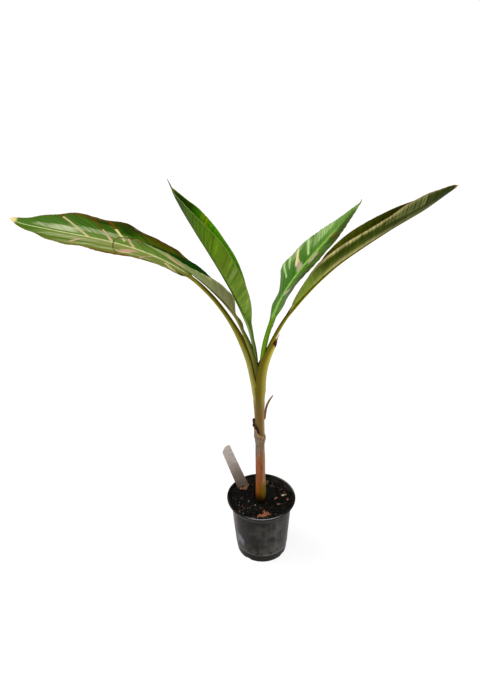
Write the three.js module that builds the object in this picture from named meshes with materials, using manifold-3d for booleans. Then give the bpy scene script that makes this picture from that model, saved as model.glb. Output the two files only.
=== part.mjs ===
// A young banana plant in a round nursery pot: five leaves on one slim pseudostem.
// Units are millimetres and degrees, +Z is up, the front is -Y, and the origin is the
// centre of the pot's flat underside.
import * as THREE from 'three';
import { mergeVertices } from 'three/addons/utils/BufferGeometryUtils.js';
import Module from 'manifold-3d';

const wasm = await Module();
wasm.setup();

// ---------------------------------------------------------------- driving dimensions

const GAP = 0.3; // clearance that neighbouring solids keep

const POT = {
  height: 106,
  rimRadius: 55.5,
  beadRadius: 1.7, // of the rolled lip
  flareHeight: 17, // the wall bends outwards over this height below the lip
  shoulderRadius: 48.3, // outside, where the flare begins
  bandHeight: 15, // stepped-in band above the foot
  bandStep: 0.8,
  footRadius: 41.6,
  wall: 1.2,
  floor: 1.6,
  notches: 4, // drain notches round the foot
  notchTurn: 55,
  notchSize: [8, 11, 4], // inwards, along the rim, upwards
};

const MIX = {
  level: 94, // flat round the stem's foot
  flatRadius: 13,
  roughness: 1.6,
};

const STEM = {
  top: 320,
  lean: -6.1, // sideways drift of the centre from foot to top
  // half sizes across X and along Y, at heights above the mix given as fractions
  stations: [0, 0.1, 0.38, 0.75, 0.9, 1],
  halfX: [7.3, 8.0, 7.1, 7.0, 8.2, 10.5],
  halfY: [7.3, 7.9, 7.0, 6.6, 6.0, 5.2],
};

// Each leaf is one arch. Its lean from the vertical grows along the arch by
// 1 - (1 - u^ease)^fade, and its heading round +Z turns by swing. half, root, tip and
// fold each hold one value for the blade's left half and one for its right, as seen
// from its base with the upper face up: a half's width follows u^root (1-u)^tip, and
// fold is its rise from the flat. roll turns the whole blade about its rib, from base
// to tip.
const LEAVES = {
  outer_left: {
    start: -15, heading: 172.5, swing: -22.5, lean: [10.5, 91.5], ease: 2.05, fade: 5.25,
    petiole: 202, blade: 310, half: [39.5, 40], root: [0.57, 0.46], tip: [1.11, 0.72],
    fold: [12.5, 17], roll: [-11, 24.5], stalkHalf: [4.2, 4], settle: [0, 70],
  },
  inner_left: {
    start: -11.6, heading: 196.5, swing: -9, lean: [-4.5, 58.5], ease: 0.74, fade: 1,
    petiole: 133, blade: 178, half: [34.5, 29], root: [0.88, 0.33], tip: [1.55, 1.3],
    fold: [32, 27], roll: [-21, 19.5],
  },
  back_left: {
    start: -8, heading: 165.5, swing: -51, lean: [0, 61], ease: 1.55, fade: 2.64,
    petiole: 106, blade: 241, half: [38.5, 29.5], root: [0.82, 0.8], tip: [0.92, 0.81],
    fold: [80.5, 63], roll: [-22.5, 8],
  },
  inner_right: {
    start: -4.6, heading: -1.5, swing: 37, lean: [3.5, 52], ease: 2.4, fade: 3.85,
    petiole: 111, blade: 215, half: [43, 31], root: [0.83, 0.4], tip: [1.39, 0.98],
    fold: [-0.5, 15], roll: [8, -1.5],
  },
  outer_right: {
    start: -0.7, heading: -12.5, swing: 38, lean: [-0.5, 65.5], ease: 1.13, fade: 2.13,
    petiole: 135, blade: 294, half: [28.5, 39.5], root: [0.94, 0.76], tip: [0.99, 0.65],
    fold: [80, 71.5], roll: [-1, -8.5],
  },
};

const PETIOLE = {
  sliceHalf: [1.5, 5.2], // at the stem's top, in and across the arch's plane
  stalkHalf: [3.3, 3.4],
  neckHalf: [2.6, 2.8], // where the blade begins
  settle: [25, 110], // the slice turns into the round stalk over this stretch
};

const BLADE = {
  thickness: 1.0,
  keel: 3, // half of the stretch across that bends round the rib
  baseHalf: 3,
  tipHalf: 1.1,
  crowding: 1.6, // draws the columns towards the rib
  columns: 10,
  rows: 21,
};

// The cut-back sheath outside the right-hand leaf, which it follows closely.
const STUB = {
  start: 3.1, heading: -12.5, swing: 0, lean: [-0.5, 22], ease: 1, fade: 1,
  petiole: 94, blade: 0, stalkHalf: [1.0, 4.0], neckHalf: [0.6, 1.8],
};

const COLLAR = {
  foot: 227, // lower edge, away from the point
  point: 183,
  pointTurn: -35, // of the downward point, from the front, negative to the left
  pointSpread: 62,
  top: 262,
  tear: 3.5, // unevenness of the torn upper edge
  wall: 0.7,
  reach: 166, // from the front, to each end of the open cuff
};

const STRIP = {
  half: [0.7, 1.8],
  from: [3.8, -1.5, 267],
  over: [3.8, -3.0, 288],
  to: [14.8, -4.0, 308],
};

const LABEL = {
  foot: [-26.8, 31.5], // where its centre line meets the mix
  turn: 28, // of its width from +X towards +Y
  lean: 18.7, // sideways, within its own plane
  width: 16.8,
  above: 105,
  below: 24,
  point: 14, // length of the tapered end in the mix
  // its slanting top, from right to left: fractions of the half width, and drops
  crown: [[1, 2], [0.75, 0.2], [-0.1, 0.8], [-0.75, 3.5], [-1, 7.5]],
  thickness: 0.8,
};

// ---------------------------------------------------------------- helpers

const rad = THREE.MathUtils.degToRad;
const lerp = THREE.MathUtils.lerp;
const smooth = THREE.MathUtils.smoothstep;
const vector = (...xyz) => new THREE.Vector3(...xyz);

/** Value at u of a curve through values that stand at rising stations. */
function through(stations, values, u) {
  let i = 1;
  while (i < stations.length - 1 && u > stations[i]) i += 1;
  return lerp(values[i - 1], values[i], smooth(u, stations[i - 1], stations[i]));
}

/** Moves every vertex of a geometry to place(x, y, z). */
function bend(geometry, place) {
  const position = geometry.getAttribute('position');
  for (let i = 0; i < position.count; i += 1) {
    const p = place(position.getX(i), position.getY(i), position.getZ(i));
    position.setXYZ(i, p.x, p.y, p.z);
  }
  return geometry;
}

/** A closed limb: section(u) gives its centre, its two unit axes and its half sizes. */
function limb(section, rings, sides) {
  const rod = new THREE.CylinderGeometry(1, 1, 1, sides, rings);
  return bend(rod, (x, y, z) => {
    const { centre, across, upper, halfAcross, halfUpper } = section(y + 0.5);
    return centre
      .clone()
      .addScaledVector(across, x * halfAcross)
      .addScaledVector(upper, z * halfUpper);
  });
}

function toSolid(geometry) {
  const bare = geometry.clone();
  bare.deleteAttribute('normal');
  bare.deleteAttribute('uv');
  const merged = mergeVertices(bare, 1e-3);
  return new wasm.Manifold(
    new wasm.Mesh({
      numProp: 3,
      vertProperties: new Float32Array(merged.getAttribute('position').array),
      triVerts: new Uint32Array(merged.getIndex().array),
    }),
  );
}

function toGeometry(solid) {
  const { vertProperties, triVerts } = solid.getMesh();
  const geometry = new THREE.BufferGeometry();
  geometry.setAttribute('position', new THREE.BufferAttribute(vertProperties, 3));
  geometry.setIndex(new THREE.BufferAttribute(triVerts, 1));
  geometry.computeVertexNormals();
  return geometry;
}

function cut(geometry, ...tools) {
  let solid = toSolid(geometry);
  for (const tool of tools) solid = solid.subtract(toSolid(tool));
  return toGeometry(solid);
}

/** A solid of revolution about +Z, from a profile of [radius, height] pairs. */
function turned(profile, sides) {
  const points = profile.map(([radius, height]) => new THREE.Vector2(radius, height));
  return new THREE.LatheGeometry(points, sides).rotateX(Math.PI / 2);
}

function finish(color, roughness) {
  return new THREE.MeshStandardMaterial({ color, roughness, metalness: 0 });
}

function part(name, geometry, material) {
  const mesh = new THREE.Mesh(geometry, material);
  mesh.name = name;
  return mesh;
}

// ---------------------------------------------------------------- pot and mix

/** Inner radius of the pot's straight wall at a height. */
function innerRadius(height) {
  const shoulder = POT.height - POT.flareHeight;
  const outer = lerp(POT.footRadius, POT.shoulderRadius, Math.min(height / shoulder, 1));
  return outer - POT.wall - POT.bandStep;
}

/** The flared wall below the lip, as offsets from the shoulder, for k from 0 to 1. */
function flare(k) {
  const run = POT.rimRadius - POT.beadRadius - POT.shoulderRadius;
  const rise = POT.flareHeight - POT.beadRadius;
  return [POT.shoulderRadius + run * k ** 2, POT.height - POT.flareHeight + rise * k];
}

function makePot() {
  const steps = [0, 0.35, 0.65, 0.88];
  const bandRadius = lerp(
    POT.footRadius, POT.shoulderRadius, POT.bandHeight / (POT.height - POT.flareHeight),
  );
  const outside = [
    [0, 0],
    [POT.footRadius - POT.bandStep - 1, 0],
    [POT.footRadius - POT.bandStep, 1],
    [bandRadius - POT.bandStep, POT.bandHeight - POT.bandStep],
    [bandRadius, POT.bandHeight],
    ...steps.map(flare),
  ];
  const bead = [-70, -20, 30, 80, 130, 180].map((turn) => [
    POT.rimRadius - POT.beadRadius + POT.beadRadius * Math.cos(rad(turn)),
    POT.height - POT.beadRadius + POT.beadRadius * Math.sin(rad(turn)),
  ]);
  const inside = steps
    .map(flare)
    .reverse()
    .map(([radius, height]) => [radius - POT.wall, height + POT.wall / 3]);
  const floor = [
    [innerRadius(0), POT.floor],
    [0, POT.floor],
  ];
  const shell = turned([...outside, ...bead, ...inside, ...floor], 40);
  const notches = Array.from({ length: POT.notches }, (_, i) => {
    const [depth, width, height] = POT.notchSize;
    return new THREE.BoxGeometry(depth, width, 2 * height)
      .translate(POT.footRadius, 0, 0)
      .rotateZ(rad(POT.notchTurn + (i * 360) / POT.notches));
  });
  return cut(shell, ...notches);
}

function makeMix() {
  const bottom = POT.floor + GAP;
  const shoulder = POT.height - POT.flareHeight;
  const rings = [0.97, 0.8, 0.6, 0.42].map((k) => [k * innerRadius(shoulder), MIX.level]);
  const profile = [
    [0, bottom],
    [innerRadius(bottom) - 2 * GAP, bottom],
    [innerRadius(shoulder), shoulder],
    ...rings,
    [MIX.flatRadius, MIX.level],
    [0, MIX.level],
  ];
  const heap = bend(turned(profile, 28), (x, y, z) => {
    const away = smooth(Math.hypot(x, y), MIX.flatRadius, 2 * MIX.flatRadius);
    const ripple = Math.sin(x / 7 + 1) * Math.cos(y / 6) + Math.sin((x - y) / 9);
    return vector(x, y, z === MIX.level ? z + (away * MIX.roughness * ripple) / 2 : z);
  });
  return cut(heap, makeLabel(2 * GAP));
}

// ---------------------------------------------------------------- label

/** The plant label, grown all round by a margin when it serves to cut its slot. */
function makeLabel(margin = 0) {
  const half = LABEL.width / 2 + margin;
  const top = LABEL.above;
  const bottom = -LABEL.below - margin;
  const outline = new THREE.Shape([
    new THREE.Vector2(0, bottom),
    new THREE.Vector2(half, bottom + LABEL.point),
    ...LABEL.crown.map(([side, drop]) => new THREE.Vector2(side * half, top - drop)),
    new THREE.Vector2(-half, bottom + LABEL.point),
  ]);
  const depth = LABEL.thickness + 2 * margin;
  return new THREE.ExtrudeGeometry(outline, { depth, bevelEnabled: false })
    .translate(0, 0, -depth / 2)
    .rotateX(Math.PI / 2)
    .rotateY(-rad(LABEL.lean))
    .rotateZ(rad(LABEL.turn))
    .translate(...LABEL.foot, MIX.level);
}

// ---------------------------------------------------------------- pseudostem

/** Centre and half sizes of the pseudostem at a height. */
function stemAt(height) {
  const u = THREE.MathUtils.clamp((height - MIX.level) / (STEM.top - MIX.level), 0, 1);
  return {
    centre: vector(STEM.lean * u ** 1.2, 0, height),
    halfX: through(STEM.stations, STEM.halfX, u),
    halfY: through(STEM.stations, STEM.halfY, u),
  };
}

function makeStem() {
  const foot = MIX.level + GAP;
  const section = (u) => {
    const { centre, halfX, halfY } = stemAt(lerp(foot, STEM.top - 2 * GAP, u));
    return {
      centre, across: vector(1, 0, 0), upper: vector(0, -1, 0),
      halfAcross: halfX, halfUpper: halfY,
    };
  };
  return limb(section, 14, 18);
}

/** The torn dry sheath: an open cuff round the stem, with one long point below. */
function makeCollar() {
  const cuff = new THREE.BoxGeometry(1, 1, 1, 22, 3, 1);
  return bend(cuff, (x, y, z) => {
    const turn = 2 * x * COLLAR.reach;
    const point = 1 - smooth(Math.abs(turn - COLLAR.pointTurn), 0, COLLAR.pointSpread);
    const low = lerp(COLLAR.foot, COLLAR.point, point ** 1.5);
    const high = COLLAR.top + COLLAR.tear * Math.sin(rad(3.1 * turn + 40));
    const height = lerp(low, high, y + 0.5);
    const { centre, halfX, halfY } = stemAt(height);
    const off = GAP + 0.1 + (z + 0.5) * COLLAR.wall;
    const sine = Math.sin(rad(turn));
    const cosine = Math.cos(rad(turn));
    return centre.add(vector((halfX + off) * sine, -(halfY + off) * cosine, 0));
  });
}

function makeStrip() {
  const path = new THREE.QuadraticBezierCurve3(
    vector(...STRIP.from), vector(...STRIP.over), vector(...STRIP.to),
  );
  const section = (u) => {
    const along = path.getTangent(u);
    const across = vector(0, 1, 0).cross(along).normalize();
    const thin = lerp(1, 0.5, u);
    return {
      centre: path.getPoint(u), across, upper: across.clone().cross(along),
      halfAcross: STRIP.half[0] * thin, halfUpper: STRIP.half[1] * thin,
    };
  };
  return limb(section, 8, 8);
}

// ---------------------------------------------------------------- leaves

/** Unit axes of a leaf's arch at u: along it, to its upper face, and to its right. */
function archAxes(leaf, u) {
  const heading = rad(leaf.heading + leaf.swing * u);
  const grown = 1 - (1 - u ** leaf.ease) ** leaf.fade;
  const lean = rad(lerp(leaf.lean[0], leaf.lean[1], grown));
  const out = vector(Math.cos(heading), Math.sin(heading), 0);
  const up = vector(0, 0, 1);
  const along = out.clone().multiplyScalar(Math.sin(lean)).addScaledVector(up, Math.cos(lean));
  const upper = out.multiplyScalar(-Math.cos(lean)).addScaledVector(up, Math.sin(lean));
  return { along, upper, right: along.clone().cross(upper) };
}

/** Returns a function of the distance along a leaf's arch, which gives the point there. */
function archPath(leaf) {
  const length = leaf.petiole + leaf.blade;
  const steps = 240;
  const points = [vector(leaf.start, 0, STEM.top)];
  for (let i = 0; i < steps; i += 1) {
    const { along } = archAxes(leaf, (i + 0.5) / steps);
    points.push(points[i].clone().addScaledVector(along, length / steps));
  }
  return (distance) => {
    const k = THREE.MathUtils.clamp(distance / length, 0, 1) * steps;
    const i = Math.min(Math.floor(k), steps - 1);
    return points[i].clone().lerp(points[i + 1], k - i);
  };
}

/** A petiole, or the old stub: a slice of the stem's top that rounds into a stalk. */
function makePetiole(leaf) {
  const { stalkHalf, neckHalf, settle } = { ...PETIOLE, ...leaf };
  const point = archPath(leaf);
  const end = leaf.petiole - GAP;
  const section = (u) => {
    const distance = end * u;
    const { along, right } = archAxes(leaf, distance / (leaf.petiole + leaf.blade));
    const settled = smooth(distance, ...settle);
    const square = vector(0, Math.sign(right.y), 0);
    const across = square.lerp(right, settled);
    across.addScaledVector(along, -across.dot(along)).normalize();
    const stalk = stalkHalf.map((size, i) => lerp(size, neckHalf[i], u ** 2));
    return {
      centre: point(distance), across, upper: across.clone().cross(along),
      halfAcross: lerp(PETIOLE.sliceHalf[1], stalk[1], settled),
      halfUpper: lerp(PETIOLE.sliceHalf[0], stalk[0], settled),
    };
  };
  return limb(section, 13, 10);
}

/** Half width of a blade at u, on the side 0 for left and 1 for right. */
function halfWidth(leaf, side, u) {
  const root = leaf.root[side];
  const tip = leaf.tip[side];
  const peak = root / (root + tip);
  const shape = (u / peak) ** root * ((1 - u) / (1 - peak)) ** tip;
  return Math.max(leaf.half[side] * shape, lerp(BLADE.baseHalf, BLADE.tipHalf, u));
}

/** Place and slope across a folded blade, at a signed distance from its rib. */
function foldedSection(leaf, width, distance) {
  const [left, right] = leaf.fold.map(rad);
  const keel = Math.min(BLADE.keel, 0.6 * width);
  const slope = (right - left) / 2;
  const turn = (right + left) / (2 * keel);
  const bent = THREE.MathUtils.clamp(distance, -keel, keel);
  const angle = slope + turn * bent;
  const straight = distance - bent;
  return {
    angle,
    aside: (Math.sin(angle) - Math.sin(slope)) / turn + straight * Math.cos(angle),
    lift: (Math.cos(slope) - Math.cos(angle)) / turn + straight * Math.sin(angle),
  };
}

function makeBlade(leaf) {
  const point = archPath(leaf);
  const length = leaf.petiole + leaf.blade;
  const sheet = new THREE.BoxGeometry(2, 1, 1, BLADE.columns, BLADE.rows, 1);
  return bend(sheet, (x, y, z) => {
    const u = THREE.MathUtils.clamp(y + 0.5, 0, 1);
    const distance = leaf.petiole + leaf.blade * u;
    const { upper, right } = archAxes(leaf, distance / length);
    const roll = rad(lerp(leaf.roll[0], leaf.roll[1], u));
    const across = right.clone().multiplyScalar(Math.cos(roll)).addScaledVector(upper, Math.sin(roll));
    const normal = upper.multiplyScalar(Math.cos(roll)).addScaledVector(right, -Math.sin(roll));
    const width = halfWidth(leaf, x < 0 ? 0 : 1, u);
    const run = Math.sign(x) * Math.abs(x) ** BLADE.crowding * width;
    const { angle, aside, lift } = foldedSection(leaf, width, run);
    const off = z * BLADE.thickness;
    return point(distance)
      .addScaledVector(across, aside - off * Math.sin(angle))
      .addScaledVector(normal, lift + off * Math.cos(angle));
  });
}

// ---------------------------------------------------------------- the plant

const plant = new THREE.Group();
plant.add(
  part('pot', makePot(), finish('#2c2a29', 0.4)),
  part('potting_mix', makeMix(), finish('#1b1613', 0.95)),
  part('plant_label', makeLabel(), finish('#a7a196', 0.45)),
  part('pseudostem', makeStem(), finish('#9a6a35', 0.45)),
  part('sheath_collar', makeCollar(), finish('#a3835c', 0.85)),
  part('dried_strip', makeStrip(), finish('#5a3a22', 0.85)),
  part('sheath_stub', makePetiole(STUB), finish('#a8a032', 0.5)),
);

const petioleColors = ['#7d8237', '#6f7a2c', '#5f8a26', '#69961c', '#585f22'];
const bladeColors = ['#4f8526', '#6f7a4c', '#4f8420', '#4f8a3c', '#5c6a26'];
Object.entries(LEAVES).forEach(([name, leaf], i) => {
  plant.add(
    part(`petiole_${name}`, makePetiole(leaf), finish(petioleColors[i], 0.4)),
    part(`blade_${name}`, makeBlade(leaf), finish(bladeColors[i], 0.45)),
  );
});

export default plant;
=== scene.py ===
"""Looks of a young banana plant in a round nursery pot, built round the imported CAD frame.

Sizes in the classes are millimetres and degrees, in the frame of the CAD: +Z up, the
front towards -Y, the origin at the centre of the pot's flat underside. Meshes are made
in metres.
"""

import logging
import math
from dataclasses import dataclass, field
from enum import Enum

import bpy
import numpy as np
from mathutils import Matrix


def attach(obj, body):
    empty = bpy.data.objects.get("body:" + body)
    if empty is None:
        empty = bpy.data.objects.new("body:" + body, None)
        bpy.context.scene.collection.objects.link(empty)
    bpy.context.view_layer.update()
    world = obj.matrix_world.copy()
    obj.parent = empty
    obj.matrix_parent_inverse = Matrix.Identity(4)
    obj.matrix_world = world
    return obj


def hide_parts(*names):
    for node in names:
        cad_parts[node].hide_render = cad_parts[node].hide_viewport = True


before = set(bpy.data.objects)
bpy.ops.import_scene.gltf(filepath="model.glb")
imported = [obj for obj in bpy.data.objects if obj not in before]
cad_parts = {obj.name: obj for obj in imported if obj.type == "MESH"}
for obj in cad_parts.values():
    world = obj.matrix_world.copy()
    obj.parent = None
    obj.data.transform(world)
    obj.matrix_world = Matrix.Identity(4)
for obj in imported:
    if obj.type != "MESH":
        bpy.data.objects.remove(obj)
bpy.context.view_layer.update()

log = logging.getLogger("banana_plant")
Array = np.ndarray
Pair = tuple[float, float]
Triple = tuple[float, float, float]

MM = 0.001
UP = np.array([0.0, 0.0, 1.0])
ROOT_BODY = "root"


# ------------------------------------------------------------------ numbers and curves


def smooth(value: Array | float, low: float, high: float) -> Array:
    """Smoothstep: t*t*(3 - 2t), where t runs from 0 at low to 1 at high."""
    t = np.clip((np.asarray(value, float) - low) / (high - low), 0.0, 1.0)
    return t * t * (3.0 - 2.0 * t)


def blend(low: Array | float, high: Array | float, t: Array | float) -> Array:
    """Straight blend: low + (high - low) * t."""
    return low + (high - low) * t


def bell(value: Array, centre: Array | float, spread: Array | float) -> Array:
    """Bell curve: exp(-((value - centre) / spread)^2)."""
    return np.exp(-(((value - centre) / spread) ** 2))


def unit(vectors: Array) -> Array:
    """Vectors divided by their lengths."""
    return vectors / np.linalg.norm(vectors, axis=-1, keepdims=True)


def through(stations: tuple[float, ...], values: tuple[float, ...], u: Array) -> Array:
    """Curve through values at rising stations, with a smoothstep between neighbours.

    Args:
        stations: rising positions from 0 to 1.
        values: the value at each station.
        u: positions to read.
    Returns:
        One value for each position.
    """
    s = np.asarray(stations, float)
    i = np.clip(np.searchsorted(s, u, side="right") - 1, 0, len(s) - 2)
    t = np.clip((u - s[i]) / (s[i + 1] - s[i]), 0.0, 1.0)
    v = np.asarray(values, float)
    return blend(v[i], v[i + 1], t * t * (3.0 - 2.0 * t))


Outline = tuple[Pair, ...]


def flowing(pairs: Outline, at: Array) -> Array:
    """Cubic curve through (place, value) pairs that never overshoots them.

    The slope at each pair is the harmonic mean of its neighbours' slopes, or 0 where
    they differ in sign.

    Args:
        pairs: places in rising order, with their values.
        at: places to read.
    Returns:
        One value for each place.
    """
    x, y = np.array(pairs, float).T
    step = np.diff(x)
    rise = np.diff(y) / step
    same = rise[:-1] * rise[1:] > 0.0
    total = np.where(same, rise[:-1] + rise[1:], 1.0)
    middle = np.where(same, 2.0 * rise[:-1] * rise[1:] / total, 0.0)
    slope = np.concatenate([rise[:1], middle, rise[-1:]])
    i = np.clip(np.searchsorted(x, at, side="right") - 1, 0, len(step) - 1)
    t = np.clip((at - x[i]) / step[i], 0.0, 1.0)
    back = 1.0 - t
    return (
        (1.0 + 2.0 * t) * back**2 * y[i]
        + t * back**2 * step[i] * slope[i]
        + t**2 * (3.0 - 2.0 * t) * y[i + 1]
        - t**2 * back * step[i] * slope[i + 1]
    )


@dataclass
class Swell:
    """Smooth seeded noise: the mean of plane waves sin(k . x + phase)."""

    seed: int
    size: float
    waves: int = 7
    spread: float = 0.5

    def __call__(self, *axes: Array | float) -> Array:
        """Value, about -1 to 1, at points given axis by axis."""
        draw = np.random.default_rng(self.seed)
        total = np.zeros(np.broadcast(*axes).shape)
        for _ in range(self.waves):
            way = unit(draw.normal(size=len(axes)))
            reach = self.size * draw.uniform(1.0 - self.spread, 1.0 + self.spread)
            phase = draw.uniform(0.0, math.tau)
            turn = sum(w * np.asarray(a, float) for w, a in zip(way, axes))
            total = total + np.sin(math.tau * turn / reach + phase)
        return total * math.sqrt(2.0 / self.waves) * 0.7


# ------------------------------------------------------------------ meshes


@dataclass
class Surface:
    """Points and faces of one piece, which can be joined with others."""

    points: Array
    quads: Array = field(default_factory=lambda: np.zeros((0, 4), int))
    tris: Array = field(default_factory=lambda: np.zeros((0, 3), int))
    quad_finish: Array | None = None
    fields: dict[str, Array] = field(default_factory=dict)

    @staticmethod
    def join(parts: list["Surface"]) -> "Surface":
        """One surface of all parts, with the fields that the first one has."""
        starts = np.cumsum([0] + [len(p.points) for p in parts[:-1]])
        finishes = [
            np.zeros(len(p.quads), int) if p.quad_finish is None else p.quad_finish
            for p in parts
        ]
        return Surface(
            np.concatenate([p.points for p in parts]),
            np.concatenate([p.quads + s for p, s in zip(parts, starts)]),
            np.concatenate([p.tris + s for p, s in zip(parts, starts)]),
            np.concatenate(finishes),
            {
                key: np.concatenate([p.fields[key] for p in parts])
                for key in parts[0].fields
            },
        )

    def turn_over(self) -> "Surface":
        """Reverses the winding of every face, and returns the surface."""
        self.quads, self.tris = self.quads[:, ::-1], self.tris[:, ::-1]
        return self

    def make(self, name: str, finishes: list["Finish"]) -> bpy.types.Object:
        """Makes the mesh object.

        Args:
            name: name of the object.
            finishes: its finishes, in the order of quad_finish.
        Returns:
            The object, at the origin, in metres.
        """
        mesh = bpy.data.meshes.new(name)
        quads, tris = self.quads, self.tris
        corners = np.concatenate([quads.ravel(), tris.ravel()]).astype(np.int32)
        totals = np.concatenate([np.full(len(quads), 4), np.full(len(tris), 3)])
        mesh.vertices.add(len(self.points))
        mesh.vertices.foreach_set("co", (self.points * MM).astype(np.float32).ravel())
        mesh.loops.add(len(corners))
        mesh.loops.foreach_set("vertex_index", corners)
        mesh.polygons.add(len(totals))
        starts = np.concatenate([[0], np.cumsum(totals)[:-1]])
        mesh.polygons.foreach_set("loop_start", starts.astype(np.int32))
        mesh.polygons.foreach_set("loop_total", totals.astype(np.int32))
        mesh.polygons.foreach_set("use_smooth", np.ones(len(totals), bool))
        if self.quad_finish is not None:
            slots = np.concatenate([self.quad_finish, np.zeros(len(tris), int)])
            mesh.polygons.foreach_set("material_index", slots.astype(np.int32))
        for key, values in self.fields.items():
            kind, item = {1: ("FLOAT", "value"), 2: ("FLOAT_VECTOR", "vector")}[
                values.ndim
            ]
            layer = mesh.attributes.new(key, kind, "POINT")
            layer.data.foreach_set(item, values.astype(np.float32).ravel())
        for finish in finishes:
            mesh.materials.append(finish.material)
        mesh.update(calc_edges=True)
        mesh.validate()
        piece = bpy.data.objects.new(name, mesh)
        bpy.context.scene.collection.objects.link(piece)
        return piece


def place(piece: bpy.types.Object, slot: str, *nodes: str) -> bpy.types.Object:
    """Rides a piece on the plant and hides the CAD nodes it stands for."""
    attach(piece, ROOT_BODY)
    if nodes:
        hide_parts(*nodes)
    log.info("%s: %d faces", piece.name, len(piece.data.polygons))
    return piece


def ring_quads(rows: int, ring: int) -> Array:
    """Faces between rows of closed rings, whose points run round after round."""
    i, j = np.meshgrid(np.arange(rows - 1), np.arange(ring), indexing="ij")
    k = (j + 1) % ring
    quads = np.stack([i * ring + j, i * ring + k, (i + 1) * ring + k, (i + 1) * ring + j])
    return quads.reshape(4, -1).T


def tube(rings: Array, fields: dict[str, Array] | None = None) -> Surface:
    """Closed tube through rings of points, with a fan of triangles on each end.

    Args:
        rings: points, shaped (rows, ring, 3).
        fields: values on the points, shaped (rows, ring) or (rows, ring, 3).
    Returns:
        The closed surface. Its faces point outwards where each ring runs clockwise
        as seen from the last row.
    """
    rows, ring, _ = rings.shape
    ends = np.stack([rings[0].mean(0), rings[-1].mean(0)])
    j = np.arange(ring)
    k = (j + 1) % ring
    last = (rows - 1) * ring
    first_fan = np.stack([np.full(ring, rows * ring), k, j], 1)
    last_fan = np.stack([np.full(ring, rows * ring + 1), last + j, last + k], 1)
    flat = {}
    for key, values in (fields or {}).items():
        tail = values.shape[2:]
        caps = np.stack([values[0].mean(0), values[-1].mean(0)])
        flat[key] = np.concatenate([values.reshape((-1, *tail)), caps])
    return Surface(
        np.concatenate([rings.reshape(-1, 3), ends]),
        ring_quads(rows, ring),
        np.concatenate([first_fan, last_fan]),
        None,
        flat,
    )


def sheet(rings: Array, fields: dict[str, Array] | None = None) -> Surface:
    """Closed thin sheet: like a tube, but a strip of quads closes each end.

    Args:
        rings: points, shaped (rows, ring, 3). The first half of each ring runs over one
            face, and the second half runs back over the other.
        fields: values on the points, as for a tube.
    Returns:
        The closed surface, with the winding of a tube.
    """
    rows, ring, _ = rings.shape
    surface = tube(rings, fields)
    j = np.arange(ring // 2 - 1)
    back = ring - 1 - j
    quads = np.stack([j, back, back - 1, j + 1], 1)
    last = (rows - 1) * ring
    surface.quads = np.concatenate([surface.quads, quads, (quads + last)[:, ::-1]])
    surface.tris = np.zeros((0, 3), int)
    surface.points = surface.points[:-2]
    surface.fields = {key: values[:-2] for key, values in surface.fields.items()}
    return surface


# ------------------------------------------------------------------ shader values


class Flow:
    """A value in a shader, which takes part in Python arithmetic."""

    def __init__(self, finish: "Finish", socket: bpy.types.NodeSocket) -> None:
        """Wraps one output socket of a finish's nodes."""
        self.finish = finish
        self.socket = socket

    def math(self, operation: str, *others: "Flow | float") -> "Flow":
        """Adds a Math node on this value and up to two others."""
        return self.finish.math(operation, self, *others)

    def __add__(self, other: "Flow | float") -> "Flow":
        """Sum."""
        return self.math("ADD", other)

    def __radd__(self, other: float) -> "Flow":
        """Sum with a number on the left."""
        return self.math("ADD", other)

    def __sub__(self, other: "Flow | float") -> "Flow":
        """Difference."""
        return self.math("SUBTRACT", other)

    def __rsub__(self, other: float) -> "Flow":
        """A number less this value."""
        return self.finish.math("SUBTRACT", other, self)

    def __mul__(self, other: "Flow | float") -> "Flow":
        """Product."""
        return self.math("MULTIPLY", other)

    def __rmul__(self, other: float) -> "Flow":
        """Product with a number on the left."""
        return self.math("MULTIPLY", other)

    def __truediv__(self, other: "Flow | float") -> "Flow":
        """Quotient."""
        return self.math("DIVIDE", other)

    def step(self, low: float, high: float) -> "Flow":
        """Smoothstep from 0 at low to 1 at high; low may be the larger."""
        node = self.finish.node(
            "ShaderNodeMapRange",
            {"interpolation_type": "SMOOTHSTEP"},
            {"Value": self, "From Min": low, "From Max": high},
        )
        return Flow(self.finish, node.outputs["Result"])


Tone = tuple[float, float, float, float]


def tone(red: int, green: int, blue: int) -> Tone:
    """Linear colour of a display colour given from 0 to 255."""
    levels = np.array([red, green, blue]) / 255.0
    low = levels / 12.92
    high = ((levels + 0.055) / 1.055) ** 2.4
    linear = np.where(levels <= 0.04045, low, high)
    return (*[float(v) for v in linear], 1.0)


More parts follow.
